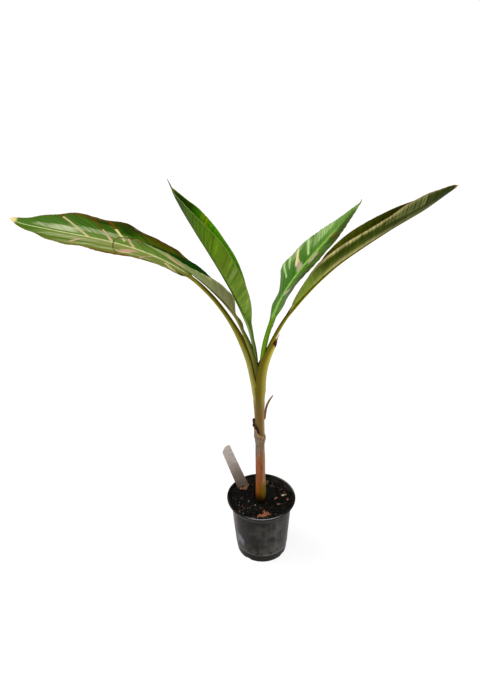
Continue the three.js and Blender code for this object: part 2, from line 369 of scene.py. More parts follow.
class Finish:
    """A procedural material on one Principled shader."""

    def __init__(self, name: str) -> None:
        """Makes the material with its shader and output."""
        self.material = bpy.data.materials.new(name)
        self.material.use_nodes = True
        self.tree = self.material.node_tree
        self.tree.nodes.clear()
        self.shader = self.tree.nodes.new("ShaderNodeBsdfPrincipled")
        output = self.tree.nodes.new("ShaderNodeOutputMaterial")
        self.tree.links.new(self.shader.outputs["BSDF"], output.inputs["Surface"])

    def node(self, kind: str, settings: dict, inputs: dict) -> bpy.types.Node:
        """Adds a node.

        Args:
            kind: the node's type.
            settings: its properties, set first; stops fills a colour ramp.
            inputs: value, Flow or colour of each socket, by name or number.
        Returns:
            The node.
        """
        node = self.tree.nodes.new(kind)
        for key, value in settings.items():
            if key == "stops":
                self._fill_ramp(node, value)
            else:
                setattr(node, key, value)
        for key, value in inputs.items():
            if isinstance(value, Flow):
                self.tree.links.new(value.socket, node.inputs[key])
            else:
                node.inputs[key].default_value = value
        return node

    @staticmethod
    def _fill_ramp(node: bpy.types.Node, stops: list[tuple[float, Tone]]) -> None:
        """Sets the stops of a colour ramp."""
        marks = node.color_ramp.elements
        while len(marks) < len(stops):
            marks.new(1.0)
        for mark, (where, colour) in zip(marks, stops):
            mark.position = where
        for mark, (where, colour) in zip(marks, stops):
            mark.color = colour

    def math(self, operation: str, *values: "Flow | float") -> Flow:
        """Adds a Math node on one to three values."""
        node = self.node(
            "ShaderNodeMath", {"operation": operation}, dict(enumerate(values))
        )
        return Flow(self, node.outputs[0])

    def mix(self, amount: Flow | float, low: Flow | Tone, high: Flow | Tone) -> Flow:
        """Mixes two colours."""
        node = self.node(
            "ShaderNodeMix", {"data_type": "RGBA"}, {0: amount, 6: low, 7: high}
        )
        return Flow(self, node.outputs[2])

    def shade(self, colour: Flow, gain: Flow) -> Flow:
        """A colour multiplied by a value."""
        node = self.node(
            "ShaderNodeVectorMath",
            {"operation": "SCALE"},
            {0: colour, "Scale": gain},
        )
        return Flow(self, node.outputs[0])

    def ramp(self, value: Flow, stops: list[tuple[float, Tone]]) -> Flow:
        """Colour ramp over a value."""
        node = self.node("ShaderNodeValToRGB", {"stops": stops}, {0: value})
        return Flow(self, node.outputs[0])

    def place(self) -> Flow:
        """Object coordinates, in metres."""
        node = self.node("ShaderNodeTexCoord", {}, {})
        return Flow(self, node.outputs["Object"])

    def read(self, name: str) -> Flow:
        """A field of the mesh as a value."""
        node = self.node("ShaderNodeAttribute", {"attribute_name": name}, {})
        return Flow(self, node.outputs["Fac"])

    def read_vector(self, name: str) -> Flow:
        """A field of the mesh as a vector."""
        node = self.node("ShaderNodeAttribute", {"attribute_name": name}, {})
        return Flow(self, node.outputs["Vector"])

    def split(self, vector: Flow) -> tuple[Flow, Flow, Flow]:
        """The three parts of a vector."""
        node = self.node("ShaderNodeSeparateXYZ", {}, {0: vector})
        return tuple(Flow(self, out) for out in node.outputs)

    def stretch(self, vector: Flow, scale: Triple, shift: Triple = (0, 0, 0)) -> Flow:
        """A vector scaled axis by axis, and shifted."""
        node = self.node(
            "ShaderNodeMapping", {}, {"Vector": vector, "Scale": scale, "Location": shift}
        )
        return Flow(self, node.outputs[0])

    def noise(
        self, vector: Flow, scale: float, detail: float = 3.0, rough: float = 0.55
    ) -> Flow:
        """Noise, from 0 to 1 about 0.5."""
        node = self.node(
            "ShaderNodeTexNoise",
            {},
            {"Vector": vector, "Scale": scale, "Detail": detail, "Roughness": rough},
        )
        return Flow(self, node.outputs[0])

    def dress(self, **sockets: Flow | float | Tone) -> None:
        """Sets or links the shader's sockets, whose names have _ for a space."""
        for key, value in sockets.items():
            socket = self.shader.inputs[key.replace("_", " ")]
            if isinstance(value, Flow):
                self.tree.links.new(value.socket, socket)
            else:
                socket.default_value = value

    def bump(self, height: Flow, depth: float, strength: float = 1.0) -> None:
        """Bumps the surface by height times depth, in metres."""
        node = self.node(
            "ShaderNodeBump",
            {},
            {"Height": height, "Distance": depth, "Strength": strength},
        )
        self.dress(Normal=Flow(self, node.outputs[0]))


# ------------------------------------------------------------------ finishes


class LeafFace(Enum):
    """The two faces of a blade."""

    UPPER = "upper"
    UNDER = "under"


Stops = tuple[tuple[float, Tone], ...]


@dataclass(frozen=True)
class LeafColours:
    """Colours of one face of a blade, from the rib, 0, to the margin, 1."""

    left: Stops
    right: Stops
    tip: Tone
    margin: Tone
    rib: Tone
    tip_from: float = 0.5
    contrast: float = 1.0
    base: Tone = (0.0, 0.0, 0.0, 1.0)
    base_to: float = 0.0
    blush: Tone = tone(190, 158, 128)
    # Colour of pale streaks, and of painted sheen where the blade catches light.
    pale: Tone = tone(196, 194, 132)
    dry: Tone = tone(150, 122, 66)
    dry_from: Pair = (0.965, 0.99)


class BladeFinish(Finish):
    """A face of a leaf: green bands from rib to margin, veins, pale flecks, and flecks of painted shade
    and painted sheen.
    """

    CREAM = tone(212, 196, 140)
    BRONZE = tone(96, 62, 4)
    # Colour of the painted shade on a blade.
    DARK = tone(26, 36, 0)

    def __init__(self, name: str, face: LeafFace, colours: LeafColours) -> None:
        """Builds the nodes of one face.

        Args:
            name: name of the material.
            face: which face it is.
            colours: its colours.
        """
        super().__init__(name)
        upper = face is LeafFace.UPPER
        leaf = self.read_vector("leaf")
        _, across, edge = self.split(leaf)
        reach, along, rib = self.split(self.read_vector("spot"))
        cream, blush, bronze = self.split(self.read_vector("tint"))
        # The shade field holds the masks of painted shade and of pale streaks with painted sheen.
        dark, pale, _ = self.split(self.read_vector("shade"))
        flat = (1.0, 1.0, 0.0)
        broad = self.noise(self.stretch(leaf, (45, 30, 0)), 1.0, 2.0)
        bands = self.noise(self.stretch(leaf, (150, 9, 0)), 1.0, 1.0)
        stripes = self.noise(self.stretch(leaf, (420, 12, 0)), 1.0, 3.0, 0.6)
        fine = self.noise(self.stretch(leaf, (1500, 50, 0)), 1.0, 2.0)
        grain = self.noise(self.stretch(leaf, flat), 1300.0, 2.0)
        where = reach + (stripes - 0.5) * 0.14 + (broad - 0.5) * 0.2
        colour = self.mix(
            across.step(-0.0006, 0.0006),
            self.ramp(where, list(colours.left)),
            self.ramp(where, list(colours.right)),
        )
        place_ = along + (broad - 0.5) * 0.2 + (bands - 0.5) * 0.15
        if colours.base_to > 0.0:
            near = place_.step(colours.base_to, colours.base_to * 0.3)
            colour = self.mix(near, colour, colours.base)
        colour = self.mix(place_.step(colours.tip_from, 1.0), colour, colours.tip)
        colour = self.mix((rib + (fine - 0.5) * 0.3).step(0.3, 0.8) * 0.85, colour, colours.rib)
        ragged = (stripes - 0.5) * 1.3 + (fine - 0.5) * 0.7
        # Flecks in turn: painted shade, real bronze, pale streaks with painted sheen, real blush and
        # cream.
        for mask, low, high, most, tint in (
            (dark, 0.0, 1.0, 0.85, self.DARK),
            (bronze, 0.1, 0.9, 0.8, self.BRONZE),
            (pale, 0.0, 1.0, 0.8, colours.pale),
            (blush, 0.3, 0.7, 0.85, colours.blush),
            (cream, 0.25, 0.75, 0.88, self.CREAM),
        ):
            rough = mask + ragged * mask.step(0.0, 0.25)
            colour = self.mix(rough.step(low, high) * most, colour, tint)
        streak = (stripes - 0.5) * 1.15 + (bands - 0.5) * 0.75 + (fine - 0.5) * 0.5
        colour = self.shade(colour, streak * colours.contrast + 1.0)
        rim = edge + (broad - 0.5) * 0.0012 + (stripes - 0.5) * 0.0006
        colour = self.mix(rim.step(0.0016, 0.0002) * 0.85, colour, colours.margin)
        end = along + (stripes - 0.5) * 0.04
        colour = self.mix(end.step(*colours.dry_from) * 0.85, colour, colours.dry)
        self.dress(
            Base_Color=colour,
            Roughness=(0.33 if upper else 0.44) + stripes * 0.14,
            Specular_IOR_Level=0.05 if upper else 0.03,
        )
        height = stripes * 0.6 + fine * 0.3 + grain * 0.15
        self.bump(height, 0.0003 if upper else 0.0004)


@dataclass(frozen=True)
class StalkColours:
    """Colours of a petiole and the rib that it becomes."""

    outer: Tone
    # Colour of the channel's inner face, darkened as painted shade.
    groove_and_shade: Tone
    # Colour of the edges: partly real brown margins, partly painted shade; on the inner right stalk a
    # painted lit side.
    wing: Tone
    base: Tone
    rib: Tone
    foot: Tone = tone(146, 122, 76)
    dead: Tone | None = None
    wing_from: Pair = (0.28, 0.92)


class StalkFinish(Finish):
    """A smooth ribbed leaf stalk: colours by its back, groove, wings and length, with painted shade in
    the groove and on the wings.
    """

    def __init__(self, name: str, colours: StalkColours) -> None:
        """Builds the nodes from a stalk's colours."""
        super().__init__(name)
        where = self.read_vector("stalk")
        side, along, far = self.split(where)
        inner = self.read("inner")
        fibre = self.noise(self.stretch(where, (7, 9, 0)), 1.0, 3.0, 0.6)
        lines = self.noise(self.stretch(where, (24, 3, 0)), 1.0, 2.0)
        # The inner face takes the groove colour: painted shade in the channel.
        colour = self.mix(inner.step(0.25, 0.75), colours.outer, colours.groove_and_shade)
        height = along + (fibre - 0.5) * 0.03
        colour = self.mix(height.step(0.1, 0.02), colour, colours.base)
        colour = self.mix(height.step(0.0, -0.04), colour, colours.foot)
        colour = self.mix(far.step(0.02, 0.2), colour, colours.rib)
        colour = self.shade(colour, 0.7 + fibre * 0.3 + lines * 0.3)
        edge = side.math("ABSOLUTE") + (fibre - 0.5) * 0.08
        # The edges take the wing colour: painted shade, partly real brown margins.
        colour = self.mix(edge.step(*colours.wing_from) * 0.9, colour, colours.wing)
        # Browner along the edges low down by the collar.
        browner_low_edges = edge.step(0.15, 0.6) * height.step(-0.01, -0.05)
        colour = self.mix(browner_low_edges * 0.8, colour, tone(120, 90, 52))
        if colours.dead is not None:
            spread = side.math("ABSOLUTE") * 0.006 + (fibre - 0.5) * 0.012
            withered = (along - spread).step(0.0735, 0.0765)
            colour = self.mix(withered, colour, colours.dead)
            bleached = (along + (fibre - 0.5) * 0.01).step(0.085, 0.088)
            colour = self.mix(bleached, colour, tone(150, 96, 66))
        self.dress(
            Base_Color=colour, Roughness=0.34 + fibre * 0.2, Specular_IOR_Level=0.06
        )
        self.bump(lines + fibre * 0.4, 0.0003)


class StemFinish(Finish):
    """The pseudostem: colours by height, long fibres, and stains by the mix, with painted shade in the
    near-black at its foot.
    """

    HEIGHTS = [
        # Near-black at the foot by the mix: stains and painted shade.
        (0.094, tone(16, 10, 5)),
        (0.102, tone(34, 20, 6)),
        (0.110, tone(92, 54, 12)),
        (0.120, tone(140, 84, 20)),
        (0.134, tone(146, 84, 28)),
        (0.150, tone(148, 84, 46)),
        (0.180, tone(150, 86, 54)),
        (0.205, tone(140, 102, 70)),
        (0.250, tone(124, 104, 56)),
        (0.285, tone(118, 102, 50)),
        (0.320, tone(104, 96, 24)),
    ]

    def __init__(self) -> None:
        """Builds the nodes."""
        super().__init__("pseudostem_skin")
        place_ = self.place()
        x, _, z = self.split(place_)
        fibre = self.noise(self.stretch(place_, (800, 800, 14)), 1.0, 3.0, 0.6)
        blot = self.noise(self.stretch(place_, (120, 120, 38)), 1.0, 3.0)
        low, high = self.HEIGHTS[0][0], self.HEIGHTS[-1][0]
        height = (z + (blot - 0.5) * 0.016 - low) / (high - low)
        stops = [((h - low) / (high - low), c) for h, c in self.HEIGHTS]
        colour = self.ramp(height, stops)
        turned = x + (z - 0.1) * 0.012 + (fibre - 0.5) * 0.003
        green = turned.step(-0.0004, 0.0036) * z.step(0.1, 0.116)
        low_green = green * z.step(0.148, 0.126)
        tan = turned.step(0.001, 0.0045) * z.step(0.126, 0.148) * z.step(0.225, 0.2)
        colour = self.mix(tan * 0.75, colour, tone(178, 146, 104))
        colour = self.mix(low_green * 0.85, colour, tone(118, 104, 26))
        olive = turned.step(0.0035, 0.0065) * z.step(0.15, 0.2)
        colour = self.mix(olive * 0.6, colour, tone(146, 134, 70))
        rust = blot.step(0.5, 0.72) * z.step(0.12, 0.15)
        colour = self.mix(rust * 0.45, colour, tone(98, 52, 26))
        colour = self.shade(colour, 0.6 + fibre * 0.8)
        self.dress(Base_Color=colour, Roughness=0.4 + fibre * 0.2, Specular_IOR_Level=0.12)
        self.bump(fibre, 0.0006)


class DrySheathFinish(Finish):
    """Papery dry sheath: a tan rim, grey-purple below, with burnt shreds."""

    def __init__(self) -> None:
        """Builds the nodes."""
        super().__init__("dry_sheath_paper")
        place_ = self.place()
        fibre = self.noise(self.stretch(place_, (1300, 1300, 60)), 1.0, 4.0, 0.65)
        blot = self.noise(self.stretch(place_, (260, 260, 160)), 1.0, 3.0)
        burnt = self.read("burnt")
        rim = self.read("rim") + (blot - 0.5) * 0.4
        colour = self.mix(rim.step(0.45, 0.75), tone(146, 124, 106), tone(182, 142, 98))
        colour = self.mix(blot.step(0.5, 0.7) * 0.6, colour, tone(84, 60, 44))
        colour = self.shade(colour, 0.05 + fibre * 1.85)
        char = (burnt + (blot - 0.5) * 0.6).step(0.45, 0.75)
        colour = self.mix(char, colour, tone(34, 24, 17))
        self.dress(Base_Color=colour, Roughness=0.7 + fibre * 0.15, Specular_IOR_Level=0.06)
        self.bump(fibre + blot * 0.6, 0.0012)


class DeadTipFinish(Finish):
    """Dried brown plant matter: tips, threads and the curled strip."""

    def __init__(self, name: str, pale: Tone, dark: Tone) -> None:
        """Builds the nodes.

        Args:
            name: name of the material.
            pale: colour of the drier fibres.
            dark: colour of the rest.
        """
        super().__init__(name)
        place_ = self.place()
        patch = self.noise(place_, 220.0, 3.0)
        grain = self.noise(place_, 900.0, 2.0)
        colour = self.mix(patch.step(0.35, 0.65), dark, pale)
        colour = self.shade(colour, 0.6 + grain * 0.8)
        self.dress(Base_Color=colour, Roughness=0.6 + grain * 0.2, Specular_IOR_Level=0.06)
        self.bump(grain, 0.0004)


class PotFinish(Finish):
    """Satin black plastic with dust, scuffs and one pale smudge; painted shade on its sides and foot,
    painted rim light and sheen with the dust, and painted highlights on the lip.
    """

    def __init__(self) -> None:
        """Builds the nodes."""
        super().__init__("pot_plastic")
        place_ = self.place()
        x, y, z = self.split(place_)
        dust = self.noise(place_, 60.0, 5.0, 0.65)
        grit = self.noise(place_, 900.0, 3.0, 0.6)
        drag = self.noise(self.stretch(place_, (160, 160, 14)), 1.0, 4.0, 0.6)
        front = y.step(-0.005, -0.02)
        cloud = drag * 0.45 + dust * 0.55
        colour = self.mix(dust.step(0.4, 0.7) * 0.7, tone(20, 18, 16), tone(52, 47, 42))
        middle = x.step(-0.024, 0.006) * cloud.step(0.38, 0.6) * z.step(0.098, 0.08)
        colour = self.mix(middle * front * 0.6, colour, tone(74, 72, 68))
        # Paler grey on the right: dust and a painted sheen.
        right = x.step(0.01, 0.026) * cloud.step(0.4, 0.62) * z.step(0.095, 0.085)
        colour = self.mix(right * 0.6, colour, tone(92, 90, 84))
        # Paler on the left edge: dust and a painted rim light.
        left = x.step(-0.036, -0.044) * cloud.step(0.36, 0.56) * z.step(0.1, 0.09)
        colour = self.mix(left * 0.6, colour, tone(132, 114, 104))
        # Painted shade on both sides.
        shaded = x.step(0.027, 0.04) * z.step(0.098, 0.09)
        shaded = shaded + x.step(-0.03, -0.043) * z.step(0.07, 0.045)
        colour = self.mix(shaded * 0.75, colour, tone(14, 12, 10))
        low = z.step(0.044, 0.018) * dust.step(0.42, 0.62) * front
        colour = self.mix(low * 0.45, colour, tone(84, 74, 66))
        # Painted shade: near-black at the foot.
        colour = self.mix(z.step(0.017, 0.012) * 0.85, colour, tone(7, 6, 5))
        ring = ((z - 0.0172).math("ABSOLUTE")).step(0.0013, 0.0003)
        colour = self.mix(ring * cloud.step(0.4, 0.58) * 0.8, colour, tone(116, 110, 102))
        dx, dz = x + 0.033, z - 0.037
        off = (dx * dx * 2.6 + dz * dz * 0.55 + dx * dz * 0.8) * 12000.0
        smudge = (off + (grit - 0.5) * 3.0 + (dust - 0.5) * 5.0).step(1.7, -0.6) * front
        colour = self.mix(smudge * 0.7, colour, tone(122, 124, 134))
        # Painted highlight along the front of the lip.
        lip_highlight = z.step(0.1048, 0.1058) * (x - 0.003).math("ABSOLUTE").step(0.034, 0.01) * front
        colour = self.mix(lip_highlight * 0.85, colour, tone(196, 200, 206))
        # Painted glint on the lip at the right back.
        glint = z.step(0.1054, 0.106) * x.step(0.012, 0.03) * y.step(0.0, 0.015)
        colour = self.mix(glint * 0.28, colour, tone(150, 148, 140))
        colour = self.shade(colour, 0.72 + grit * 0.56)
        rough = 0.3 + drag * 0.14 + dust.step(0.45, 0.7) * 0.14
        self.dress(Base_Color=colour, Roughness=rough, Specular_IOR_Level=0.1)
        self.bump(drag * 0.5 + grit * 0.12, 0.0003)


class MixFinish(Finish):
    """Near-black moist mix, with brown crumbs by a field from 0 to 1."""

    def __init__(self, name: str, dark: Tone, light: Tone) -> None:
        """Builds the nodes.

        Args:
            name: name of the material.
            dark: colour of a piece whose tint is 0.
            light: colour of a piece whose tint is 1.
        """
        super().__init__(name)
        place_ = self.place()
        blot = self.noise(place_, 170.0, 4.0, 0.65)
        grain = self.noise(place_, 1100.0, 3.0, 0.7)
        colour = self.mix(self.read("tint"), dark, light)
        colour = self.shade(colour, 0.45 + blot * 0.6 + grain * 0.5)
        self.dress(
            Base_Color=colour, Roughness=0.62 + grain * 0.3, Specular_IOR_Level=0.12
        )
        self.bump(grain + blot * 0.6, 0.0009)


class BarkFinish(Finish):
    """Bark chips: orange-brown grain along each chip."""

    def __init__(self) -> None:
        """Builds the nodes."""
        super().__init__("bark_chip")
        place_ = self.place()
        grain = self.noise(self.stretch(place_, (260, 900, 700)), 1.0, 4.0, 0.65)
        blot = self.noise(place_, 240.0, 3.0)
        colour = self.mix(self.read("tint"), tone(142, 80, 46), tone(216, 200, 160))
        colour = self.mix(blot.step(0.4, 0.7) * 0.7, colour, tone(64, 34, 18))
        colour = self.shade(colour, 0.55 + grain * 0.95)
        self.dress(Base_Color=colour, Roughness=0.75)
        self.bump(grain, 0.0012)


class LabelFinish(Finish):
    """Blank grey-beige plastic, darker towards the mix and scratched a little."""

    def __init__(self) -> None:
        """Builds the nodes."""
        super().__init__("label_plastic")
        place_ = self.place()
        _, _, z = self.split(place_)
        blot = self.noise(place_, 90.0, 4.0, 0.6)
        grit = self.noise(place_, 1300.0, 2.0)
        scratch = self.noise(self.stretch(place_, (90, 90, 900)), 1.0, 3.0)
        colour = self.mix(blot.step(0.35, 0.7), tone(206, 196, 186), tone(186, 176, 166))
        # Darker towards the mix.
        darker_low = z.step(0.2, 0.1) + (blot - 0.5) * 0.5
        colour = self.mix(darker_low.step(0.0, 1.0) * 0.8, colour, tone(132, 117, 102))
        colour = self.shade(colour, 0.66 + grit * 0.36 + scratch * 0.54)
        self.dress(
            Base_Color=colour, Roughness=0.36 + blot * 0.2, Specular_IOR_Level=0.2
        )
        self.bump(scratch * 0.6 + grit * 0.3, 0.00018)


# ------------------------------------------------------------------ leaves


@dataclass(frozen=True)
class Nudge:
    """A small local shift of an arch, in a bell shape."""

    at: float
    spread: float
    shift: Triple


@dataclass(frozen=True)
class Arch:
    """The curve of one leaf, from the pseudostem's top to the blade's tip."""

    start: float
    heading: float
    swing: float
    lean: Pair
    ease: float
    fade: float
    petiole: float
    blade: float
    nudges: tuple[Nudge, ...] = ()
    fork: float = 320.0
    steps: int = 240

    @property
    def length(self) -> float:
        """Length of petiole and blade together."""
        return self.petiole + self.blade

    def axes(self, u: Array) -> tuple[Array, Array, Array]:
        """Unit axes of the arch.

        The heading turns by swing * u. The lean from the vertical goes from its first
        to its second value by 1 - (1 - u^ease)^fade.

        Args:
            u: positions from 0 at the fork to 1 at the tip.
        Returns:
            The axes along the arch, to its right and to its upper face.
        """
        u = np.clip(u, 0.0, 1.0)
        heading = np.radians(self.heading + self.swing * u)
        grown = 1.0 - (1.0 - u**self.ease) ** self.fade
        lean = np.radians(blend(*self.lean, grown))
        out = np.stack([np.cos(heading), np.sin(heading), 0.0 * u], -1)
        along = out * np.sin(lean)[..., None] + UP * np.cos(lean)[..., None]
        upper = -out * np.cos(lean)[..., None] + UP * np.sin(lean)[..., None]
        return along, np.cross(along, upper), upper

    def points(self, distance: Array) -> Array:
        """Points at distances from the fork: the axis summed over many small steps."""
        middle = (np.arange(self.steps) + 0.5) / self.steps
        stride = self.axes(middle)[0] * (self.length / self.steps)
        path = np.concatenate([np.zeros((1, 3)), np.cumsum(stride, 0)])
        path = path + np.array([self.start, 0.0, self.fork])
        knots = np.linspace(0.0, self.length, self.steps + 1)
        for nudge in self.nudges:
            weight = bell(knots, nudge.at, nudge.spread)
            path = path + weight[:, None] * np.array(nudge.shift)
        return np.stack([np.interp(distance, knots, path[:, k]) for k in range(3)], -1)


class Tint(Enum):
    """What a fleck on a blade looks like."""

    CREAM = "cream"
    BLUSH = "blush"
    BRONZE = "bronze"
    # Painted shade on a blade.
    DARK = "dark"
    # Pale streaks, and painted sheen.
    PALE = "pale"


class Half(Enum):
    """The halves of a blade, as seen from its base with the upper face up."""

    LEFT = 0
    RIGHT = 1


@dataclass(frozen=True)
class Fleck:
    """A streak on one half, between two places given as (along, out from the rib).

    Widths are measured along the leaf. Bend pushes the streak's middle along it.
    """

    half: Half
    tint: Tint
    start: Pair
    end: Pair
    width: Pair
    bend: float = 0.0
    strength: float = 1.0


@dataclass
class Blade:
    """A leaf blade: two halves folded about the rib, one closed thin sheet."""

    name: str
    arch: Arch
    left: Outline
    right: Outline
    fold: Pair
    roll: Outline
    veins: Pair
    upper: LeafColours
    under: LeafColours
    bow: Pair = (0.0, 0.0)
    base_fold: Pair | None = None
    base_reach: float = 32.0
    flecks: tuple[Fleck, ...] = ()
    rib_half: Pair = (2.2, 0.6)
    wave: float = 1.2
    wave_size: float = 70.0
    ridge: float = 0.2
    seed: int = 1
    rows: int = 290
    columns: int = 42
    keel: float = 3.0
    rib_thickness: float = 0.9
    margin_thickness: float = 0.34

    def distances(self) -> Array:
        """Distances of the rows from the blade's base, closer near both ends."""
        t = np.linspace(0.0, 1.0, self.rows)
        t = t - 0.028 * np.sin(math.tau * t)
        return blend(self.left[0][0], self.arch.blade, t)

    def widths(self, d: Array) -> Array:
        """Half widths of both halves at distances d, shaped (2, rows)."""
        return np.stack([flowing(side, d) for side in (self.left, self.right)])

    def grid(self) -> dict[str, Array]:
        """Middle surface of the sheet.

        Across the rib the sheet turns by an angle that rises over the keel, then by
        bow towards the margin. The place is the sum of cos and sin of that angle over
        the run from the rib. Waves along the margin, shallow ridges between the veins
        and the raised rib move it along its normal.

        Returns:
            place and normal (rows, columns, 3), and run, width, vein, along, side and
            distance (rows, columns).
        """
        d = self.distances()
        widths = self.widths(d)
        knots = (np.arange(self.columns + 1) / self.columns) ** 1.25
        x = np.concatenate([-knots[::-1], knots[1:]])
        side = (x > 0.0).astype(int)[None, :] * np.ones((len(d), 1), int)
        width = np.where(side == 0, widths[0][:, None], widths[1][:, None])
        run = width * x[None, :]
        base = 1.0 - smooth(d, -5.0, self.base_reach)[:, None]
        first = self.base_fold or self.fold
        left, right = [
            np.radians(blend(fold, start, base)) for fold, start in zip(self.fold, first)
        ]
        keel = np.minimum(self.keel, 0.6 * np.minimum(widths[0], widths[1])[:, None])
        middle = 0.5 * (run[:, 1:] + run[:, :-1])
        bent = np.clip(middle, -keel, keel)
        slope = (right - left) / 2.0
        turn = (right + left) / (2.0 * keel)
        past = middle / np.maximum(0.5 * (width[:, 1:] + width[:, :-1]), 1.0)
        bow = np.where(middle < 0, self.bow[0], self.bow[1])
        curl = np.radians(bow) * (np.abs(past) - 0.45) * np.sign(middle)
        curl = curl * smooth(np.abs(middle), 0.0, 6.0)
        angle = slope + turn * bent + curl
        stride = run[:, 1:] - run[:, :-1]
        zero = np.zeros((len(d), 1))
        aside = np.concatenate([zero, np.cumsum(stride * np.cos(angle), 1)], 1)
        lift = np.concatenate([zero, np.cumsum(stride * np.sin(angle), 1)], 1)
        aside = aside - aside[:, [self.columns]]
        lift = lift - lift[:, [self.columns]]
        wide = np.concatenate([angle[:, :1], angle, angle[:, -1:]], 1)
        angle = 0.5 * (wide[:, 1:] + wide[:, :-1])
        distance = self.arch.petiole + d
        along = np.clip(d / self.arch.blade, 0.0, 1.0)
        _, right_axis, upper_axis = self.arch.axes(distance / self.arch.length)
        roll = np.radians(flowing(self.roll, along))
        c, s = np.cos(roll)[:, None], np.sin(roll)[:, None]
        across = (c * right_axis + s * upper_axis)[:, None]
        normal = (c * upper_axis - s * right_axis)[:, None]
        place_ = self.arch.points(distance)[:, None] + across * aside[..., None]
        place_ = place_ + normal * lift[..., None]
        outward = normal * np.cos(angle)[..., None] - across * np.sin(angle)[..., None]
        reach = np.abs(x)[None, :]
        vein = d[:, None] - np.abs(run) * (self.veins[0] + self.veins[1] * d[:, None])
        rib = blend(*self.rib_half, along)[:, None]
        ribbed = 1.0 - smooth(np.abs(run), 0.5 * rib, 1.25 * rib)
        waves = Swell(self.seed, self.wave_size)(d[:, None], side * 500.0)
        lift_off = self.wave * waves * reach**2.2 * smooth(width, 4.0, 20.0)
        ridges = Swell(self.seed + 7, 6.5, 5, 0.35)(vein, side * 90.0)
        lift_off = lift_off + self.ridge * ridges * smooth(np.abs(run), 1.5, 8.0)
        lift_off = lift_off + 0.22 * rib * ribbed * smooth(d, 0.0, 20.0)[:, None]
        return {
            "place": place_ + outward * lift_off[..., None],
            "normal": outward,
            "run": run,
            "width": width,
            "vein": vein,
            "along": along[:, None] + 0.0 * run,
            "side": side,
            "rib": ribbed,
            "distance": d[:, None] + 0.0 * run,
        }

    def tints(self, grid: dict[str, Array]) -> dict[Tint, Array]:
        """Strength of each tint: for each fleck a flat-topped bell across its line."""
        run = np.abs(grid["run"])
        masks = {tint: np.zeros_like(run) for tint in Tint}
        jitter = Swell(self.seed + 31, 14.0)(grid["run"], grid["distance"] * 0.3)
        for fleck in self.flecks:
            (low, near), (high, far) = fleck.start, fleck.end
            part = np.clip((run - near) / max(far - near, 1e-6), 0.0, 1.0)
            width = blend(*fleck.width, part) * 0.5
            centre = blend(low, high, part) + fleck.bend * 4.0 * part * (1.0 - part)
            centre = centre + jitter * np.minimum(1.0, 0.1 * width)
            mask = np.exp(-((np.abs(grid["distance"] - centre) / width) ** 3))
            soft = 0.1 * (far - near) + 0.8
            ends = smooth(run, near - soft, near) * (1.0 - smooth(run, far, far + soft))
            here = grid["side"] == fleck.half.value
            mask = mask * ends * here * fleck.strength
            masks[fleck.tint] = np.maximum(masks[fleck.tint], mask)
        return masks

    def make(self) -> bpy.types.Object:
        """Makes the sheet: the upper face left to right, then the under face back."""
        grid = self.grid()
        rows, count = grid["run"].shape
        reach = np.abs(grid["run"]) / grid["width"]
        taper = np.sqrt(np.clip(1.0 - reach**14, 0.0, 1.0))
        thick = blend(self.rib_thickness, self.margin_thickness, smooth(reach, 0.0, 0.5))
        half = 0.5 * thick * taper * smooth(grid["width"], 0.0, 3.0)
        over = grid["place"] + grid["normal"] * half[..., None]
        under = (grid["place"] - grid["normal"] * half[..., None])[:, -2:0:-1]
        rings = np.concatenate([over, under], 1)
        masks = self.tints(grid)
        margin = (1.0 - reach) * grid["width"]
        groups = {
            "leaf": (grid["vein"] * MM, grid["run"] * MM, margin * MM),
            "spot": (reach, grid["along"], grid["rib"]),
            "tint": tuple(masks[t] for t in (Tint.CREAM, Tint.BLUSH, Tint.BRONZE)),
            # Masks of painted shade and of pale streaks with painted sheen.
            "shade": (masks[Tint.DARK], masks[Tint.PALE], 0.0 * reach),
        }
        values = {key: np.stack(parts, -1) for key, parts in groups.items()}
        values = {k: np.concatenate([v, v[:, -2:0:-1]], 1) for k, v in values.items()}
        ring = rings.shape[1]
        finish = np.tile((np.arange(ring) >= count - 1).astype(int), rows - 1)
        caps_q, caps_t = self._caps(rows, count, ring)
        surface = Surface(
            rings.reshape(-1, 3),
            np.concatenate([ring_quads(rows, ring), caps_q]),
            caps_t,
            np.concatenate([finish, np.zeros(len(caps_q), int)]),
            {key: value.reshape(-1, 3) for key, value in values.items()},
        )
        finishes = [
            BladeFinish(f"{self.name}_upper", LeafFace.UPPER, self.upper),
            BladeFinish(f"{self.name}_under", LeafFace.UNDER, self.under),
        ]
        piece = surface.make(f"leaf_blade_{self.name}", finishes)
        return place(piece, "leaf_blade", f"blade_{self.name}")

    @staticmethod
    def _caps(rows: int, count: int, ring: int) -> tuple[Array, Array]:
        """Faces that close the first and the last row between upper and under face."""
        j = np.arange(1, count - 2)
        over, back = j, ring - j
        quads = np.stack([over, back, back - 1, over + 1], 1)
        ends = np.array([[0, ring - 1, 1], [count - 2, count, count - 1]])
        last = (rows - 1) * ring
        return (
            np.concatenate([quads, (quads + last)[:, ::-1]]),
            np.concatenate([ends, (ends + last)[:, ::-1]]),
        )


@dataclass
class Stem:
    """Size of the pseudostem, which sheaths and collar follow."""

    foot: float = 94.0
    top: float = 320.0
    side: float = -0.5
    drift: float = -6.3
    stations: tuple[float, ...] = (0, 0.1, 0.38, 0.75, 0.9, 1)
    half_x: tuple[float, ...] = (7.6, 8.2, 7.4, 7.1, 8.2, 10.3)
    half_y: tuple[float, ...] = (7.3, 7.9, 7.0, 6.6, 6.0, 5.2)

    def at(self, height: Array) -> tuple[Array, Array, Array]:
        """Centre's x and half sizes across and in depth, at heights."""
        u = np.clip((height - self.foot) / (self.top - self.foot), 0.0, 1.0)
        return (
            self.side + self.drift * u**1.2,
            through(self.stations, self.half_x, u),
            through(self.stations, self.half_y, u),
        )


